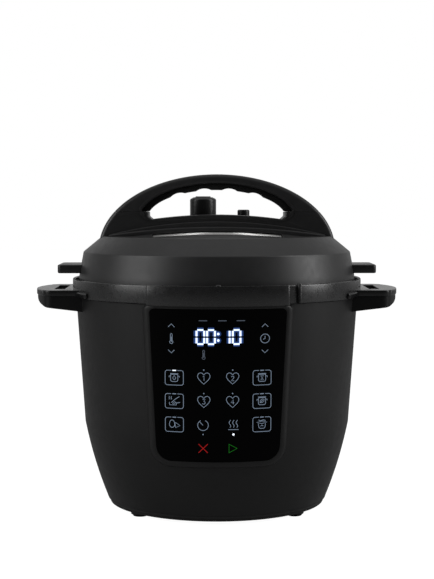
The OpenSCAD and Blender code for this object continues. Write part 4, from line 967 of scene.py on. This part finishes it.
bands = []
for top_z, half_depth, edge in ((263.6, 26.0, 1.6), (268.4, 22.5, 0.9)):
    step = front_slab([crown(101, 256, top_z, 32) + [(101, 248), (-101, 248)]], -half_depth, half_depth)
    bands.append(carved(eased(step, edge, 4, lambda p: p.z > 255), [lid_room()]))
piece("handle_arch_moulding", upper, "lid", handle_black, ["handle_arch"])
piece("handle_base_moulding", lower, "lid", handle_black, ["handle_base"])
piece("handle_base_bands", merged(*bands), "lid", handle_black)
rims = merged(lip(-lip_front, -lip_back), lip(lip_back, lip_front))
piece("handle_opening_rims", rims, "lid", handle_black)

grip_outline = ellipse(72.3, 33.5, grip_centre, 277.6, 56)
grip_outline += ellipse(66.5, 27.7, grip_centre, 277.6, 56)[::-1]
fingers = [front_slab([arc((x, z), 14, 0, 360, 40)[:-1]], -16, 16)
           for x, z in ((-11.5, 285.2), (11.5, 285.2), (-34, 281.2), (34, 281.2))]
grip = carved(front_slab([grip_outline], -14, 14), fingers)
eased(grip, 1.1, 3, lambda p: 278.2 < p.z < 303, 24)
piece("handle_soft_grip", grip, "lid", grip_rubber, ["handle_grip"], smooth=40)

# ---- Valves ----
valve_at, button_at = (-13, 46), (26.4, 40)
valve_profile = rounded(
    [(0, 291.8), (7.2, 291.8), (7.6, 290.9), (9.2, 290.9), (12.8, 289.0), (12.8, 259.9), (8.0, 259.9),
     (8.0, 265.9), (4.4, 265.9), (4.4, 279.4), (0, 279.4)],
    [0, 0.4, 0.2, 0.6, 1.8, 0.8, 0.3, 0, 0, 0, 0], 5, closed=False)
valve = turned(valve_profile, 64, at=valve_at)
piece("steam_valve_knob", valve, "valve", black_plastic, ["steam_valve"])
button_profile = rounded(
    [(0, 278.8), (5.9, 278.8), (5.9, 262.7), (2.5, 262.7), (2.5, 260.5), (0, 260.5)],
    [0, 1.5, 0.4, 0, 0.3, 0], 6, closed=False)
button = turned(button_profile, 48, at=button_at)
piece("release_button_cap", button, "button", black_plastic, ["release_button"])

valve_boss, button_boss = 17, 10.5
tangent = math.degrees(math.atan2(button_at[1] - valve_at[1], button_at[0] - valve_at[0]))
swing = math.degrees(math.acos((valve_boss - button_boss) / math.dist(valve_at, button_at)))
mount_plan = (arc(button_at, button_boss, tangent - swing, tangent + swing, 24)
              + arc(valve_at, valve_boss, tangent + swing, tangent + 360 - swing, 40))
valve_well = [(0, 240), (7.4, 240), (7.4, 259.5), (13.8, 259.5), (13.8, 275), (0, 275)]
button_well = [(0, 240), (2.9, 240), (2.9, 257.5), (6.3, 257.5), (6.3, 275), (0, 275)]
under_crown = [(0, 200), (85, 200)] + crown_line(2.0)
mount = eased(slab([mount_plan], 250, 263), 0.7, 3, lambda p: p.z > 262)
mount = carved(mount, [turned(under_crown), turned(valve_well, 64, at=valve_at),
                       turned(button_well, 48, at=button_at)])
piece("valve_mount_moulding", mount, "lid", black_plastic, ["valve_mount"])


def coil(low, high, radius, wire, turns, at):
    """A wire of that radius wound round an upright axis."""
    bm = bmesh.new()
    end = bmesh.ops.create_circle(bm, radius=wire, segments=10)["verts"]
    bmesh.ops.rotate(bm, verts=end, matrix=Matrix.Rotation(math.pi / 2, 3, "X"))
    bmesh.ops.translate(bm, verts=end, vec=(radius, 0, low + wire))
    steps = int(turns * 28)
    climb = (high - low - 2 * wire) / steps
    bmesh.ops.spin(bm, geom=bm.verts[:] + bm.edges[:], axis=(0, 0, 1), dvec=(0, 0, climb),
                   angle=math.tau * turns, steps=steps)
    outward(filled(bm))
    bmesh.ops.translate(bm, verts=bm.verts, vec=(*at, 0))
    return bm


for stood_for, owner, mover, low, high, radius, wire, turns, at in (
        ("sensor_spring", "base", "sensor", 34.1, 44.3, 6.2, 0.6, 5, (0, 0)),
        ("release_spring", "lid", "button", 257.7, 262.5, 4.3, 0.45, 3.5, button_at)):
    wound = coil(low, high, radius, wire, turns, at)
    spring = piece(mover + "_coil_spring", wound, None, small_steel, [stood_for], smooth=60)
    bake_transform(spring)

# ---- Inner pot, seal and cup ----
pot_path = rounded([(0, 50.2), (111.5, 50.2), (111.5, 206.4), (120.6, 206.4)], [0, 14, 1.7, 0], 10,
                   closed=False)
pot_rim = [(120.9, 206.6), (121.0, 207.0), (120.9, 207.4), (120.6, 207.6)]
pot_inside = offset(pot_path, 1.2)[-2::-1]
pot = turned(pot_path + pot_rim + pot_inside, 192)
piece("cooking_pot", pot, "pot", pot_steel, ["inner_pot"])
seal_profile = rounded([(108.6, 207.9), (121.4, 207.9), (121.4, 218.0), (108.6, 218.0), (108.6, 216.0),
                        (114.5, 216.0), (114.5, 209.9), (108.6, 209.9)],
                       [0.9, 1.2, 1.2, 0.9, 0.9, 0.6, 0.6, 0.9], 4)
seal = turned(seal_profile, closed=True)
piece("silicone_ring", seal, "seal", silicone, ["sealing_ring"])
cup = eased(from_node("condensation_cup"), 0.4, 2, lambda p: p.y > 140 or p.z < 156, 40)
piece("drip_cup", cup, "cup", smoke, ["condensation_cup"])
inlet = eased(from_node("mains_inlet"), 0.3, 2, lambda p: p.y > 104)
piece("inlet_socket", inlet, "base", black_plastic, ["mains_inlet"])

# ---- Nodes kept as built ----
kept = {
    "base_screws": small_steel, "display_module": faint_print, "control_board": board_green,
    "heater_housing": steel, "lock_ring": steel, "heating_plate": aluminium,
    "plate_supports": small_steel, "heating_element": dark_metal, "temperature_sensor": small_steel,
    "sensor_holder": small_steel, "pressure_switch": deep_black, "thermal_fuse": ceramic,
    "power_board": board_green, "inlet_pins": brass, "ring_rack": small_steel, "pressure_lid": steel,
    "handle_screws": small_steel, "steam_pipe": small_steel, "float_valve": float_red,
    "float_seal": silicone, "anti_block_shield": small_steel,
}
for name, material in kept.items():
    nodes[name].data.materials.clear()
    nodes[name].data.materials.append(material)


# ---- Studio ----
def studio_floor():
    """A floor that is almost white to the eye and dark in reflections."""
    bm = bmesh.new()
    bmesh.ops.create_grid(bm, x_segments=2, y_segments=2, size=6)
    mesh = as_mesh("studio_floor", bm)
    material = finish("studio_floor", (0.3, 0.3, 0.3), 0.9, specular=0.0)
    look = Pattern(material)
    look.shader.inputs["Emission Color"].default_value = (1, 1, 1, 1)
    paths = look.add("ShaderNodeLightPath")
    level = 0
    for ray, strength in (("Is Camera Ray", 0.97), ("Is Transmission Ray", 0.97),
                          ("Is Glossy Ray", 0.09)):
        level = look.math("ADD", look.math("MULTIPLY", paths.outputs[ray], strength), level)
    look.join(level, look.shader.inputs["Emission Strength"])
    mesh.materials.append(material)
    floor = placed("studio_floor", mesh)


def studio_world():
    """White to the eye, a soft grey room for light, a white backdrop and ceiling for reflections."""
    world = bpy.data.worlds.new("studio")
    scene.world = world
    world.use_nodes = True
    tree = world.node_tree
    tree.nodes.clear()

    def wired(kind, *sources):
        node = tree.nodes.new(kind)
        for socket, source in zip(node.inputs, sources):
            tree.links.new(source, socket)
        return node

    def larger(a, b):
        node = wired("ShaderNodeMath", a, b)
        node.operation = "MAXIMUM"
        return node.outputs[0]

    def light(strength=1.0):
        node = tree.nodes.new("ShaderNodeBackground")
        node.inputs["Color"].default_value = (1, 1, 1, 1)
        node.inputs["Strength"].default_value = strength
        return node

    ray = tree.nodes.new("ShaderNodeLightPath").outputs
    place = tree.nodes.new("ShaderNodeTexCoord").outputs["Generated"]
    way = wired("ShaderNodeSeparateXYZ", place).outputs
    behind = ranged(wired("ShaderNodeMapRange", way["Y"]), 0.1, 0.9, 0.03, 0.54)
    above = ranged(wired("ShaderNodeMapRange", way["Z"]), 0.35, 0.9, 0.0, 0.42)
    room, backdrop, white = light(0.15), light(), light()
    tree.links.new(larger(behind, above), backdrop.inputs["Strength"])
    shiny = wired("ShaderNodeMixShader", ray["Is Glossy Ray"], room.outputs[0], backdrop.outputs[0])
    clear = larger(ray["Is Camera Ray"], ray["Is Transmission Ray"])
    direct = wired("ShaderNodeMixShader", clear, shiny.outputs[0], white.outputs[0])
    wired("ShaderNodeOutputWorld", direct.outputs[0])


def soft_box(name, place, aim, width, height, power):
    data = bpy.data.lights.new(name, "AREA")
    data.shape = "RECTANGLE"
    data.size, data.size_y = width, height
    data.energy = power
    lamp = placed(name, data)
    lamp.location = place
    lamp.rotation_euler = (Vector(aim) - Vector(place)).to_track_quat("-Z", "Y").to_euler()
    lamp.visible_camera = False


studio_floor()
studio_world()
soft_box("left_box", (-1.15, -0.5, 0.75), (0, 0, 0.17), 0.8, 1.1, 8.2)
soft_box("right_box", (1.22, -0.2, 0.75), (0, 0, 0.17), 0.55, 1.1, 9.2)
soft_box("top_box", (0, 0.15, 1.6), (0, 0, 0.2), 1.2, 0.9, 0.8)
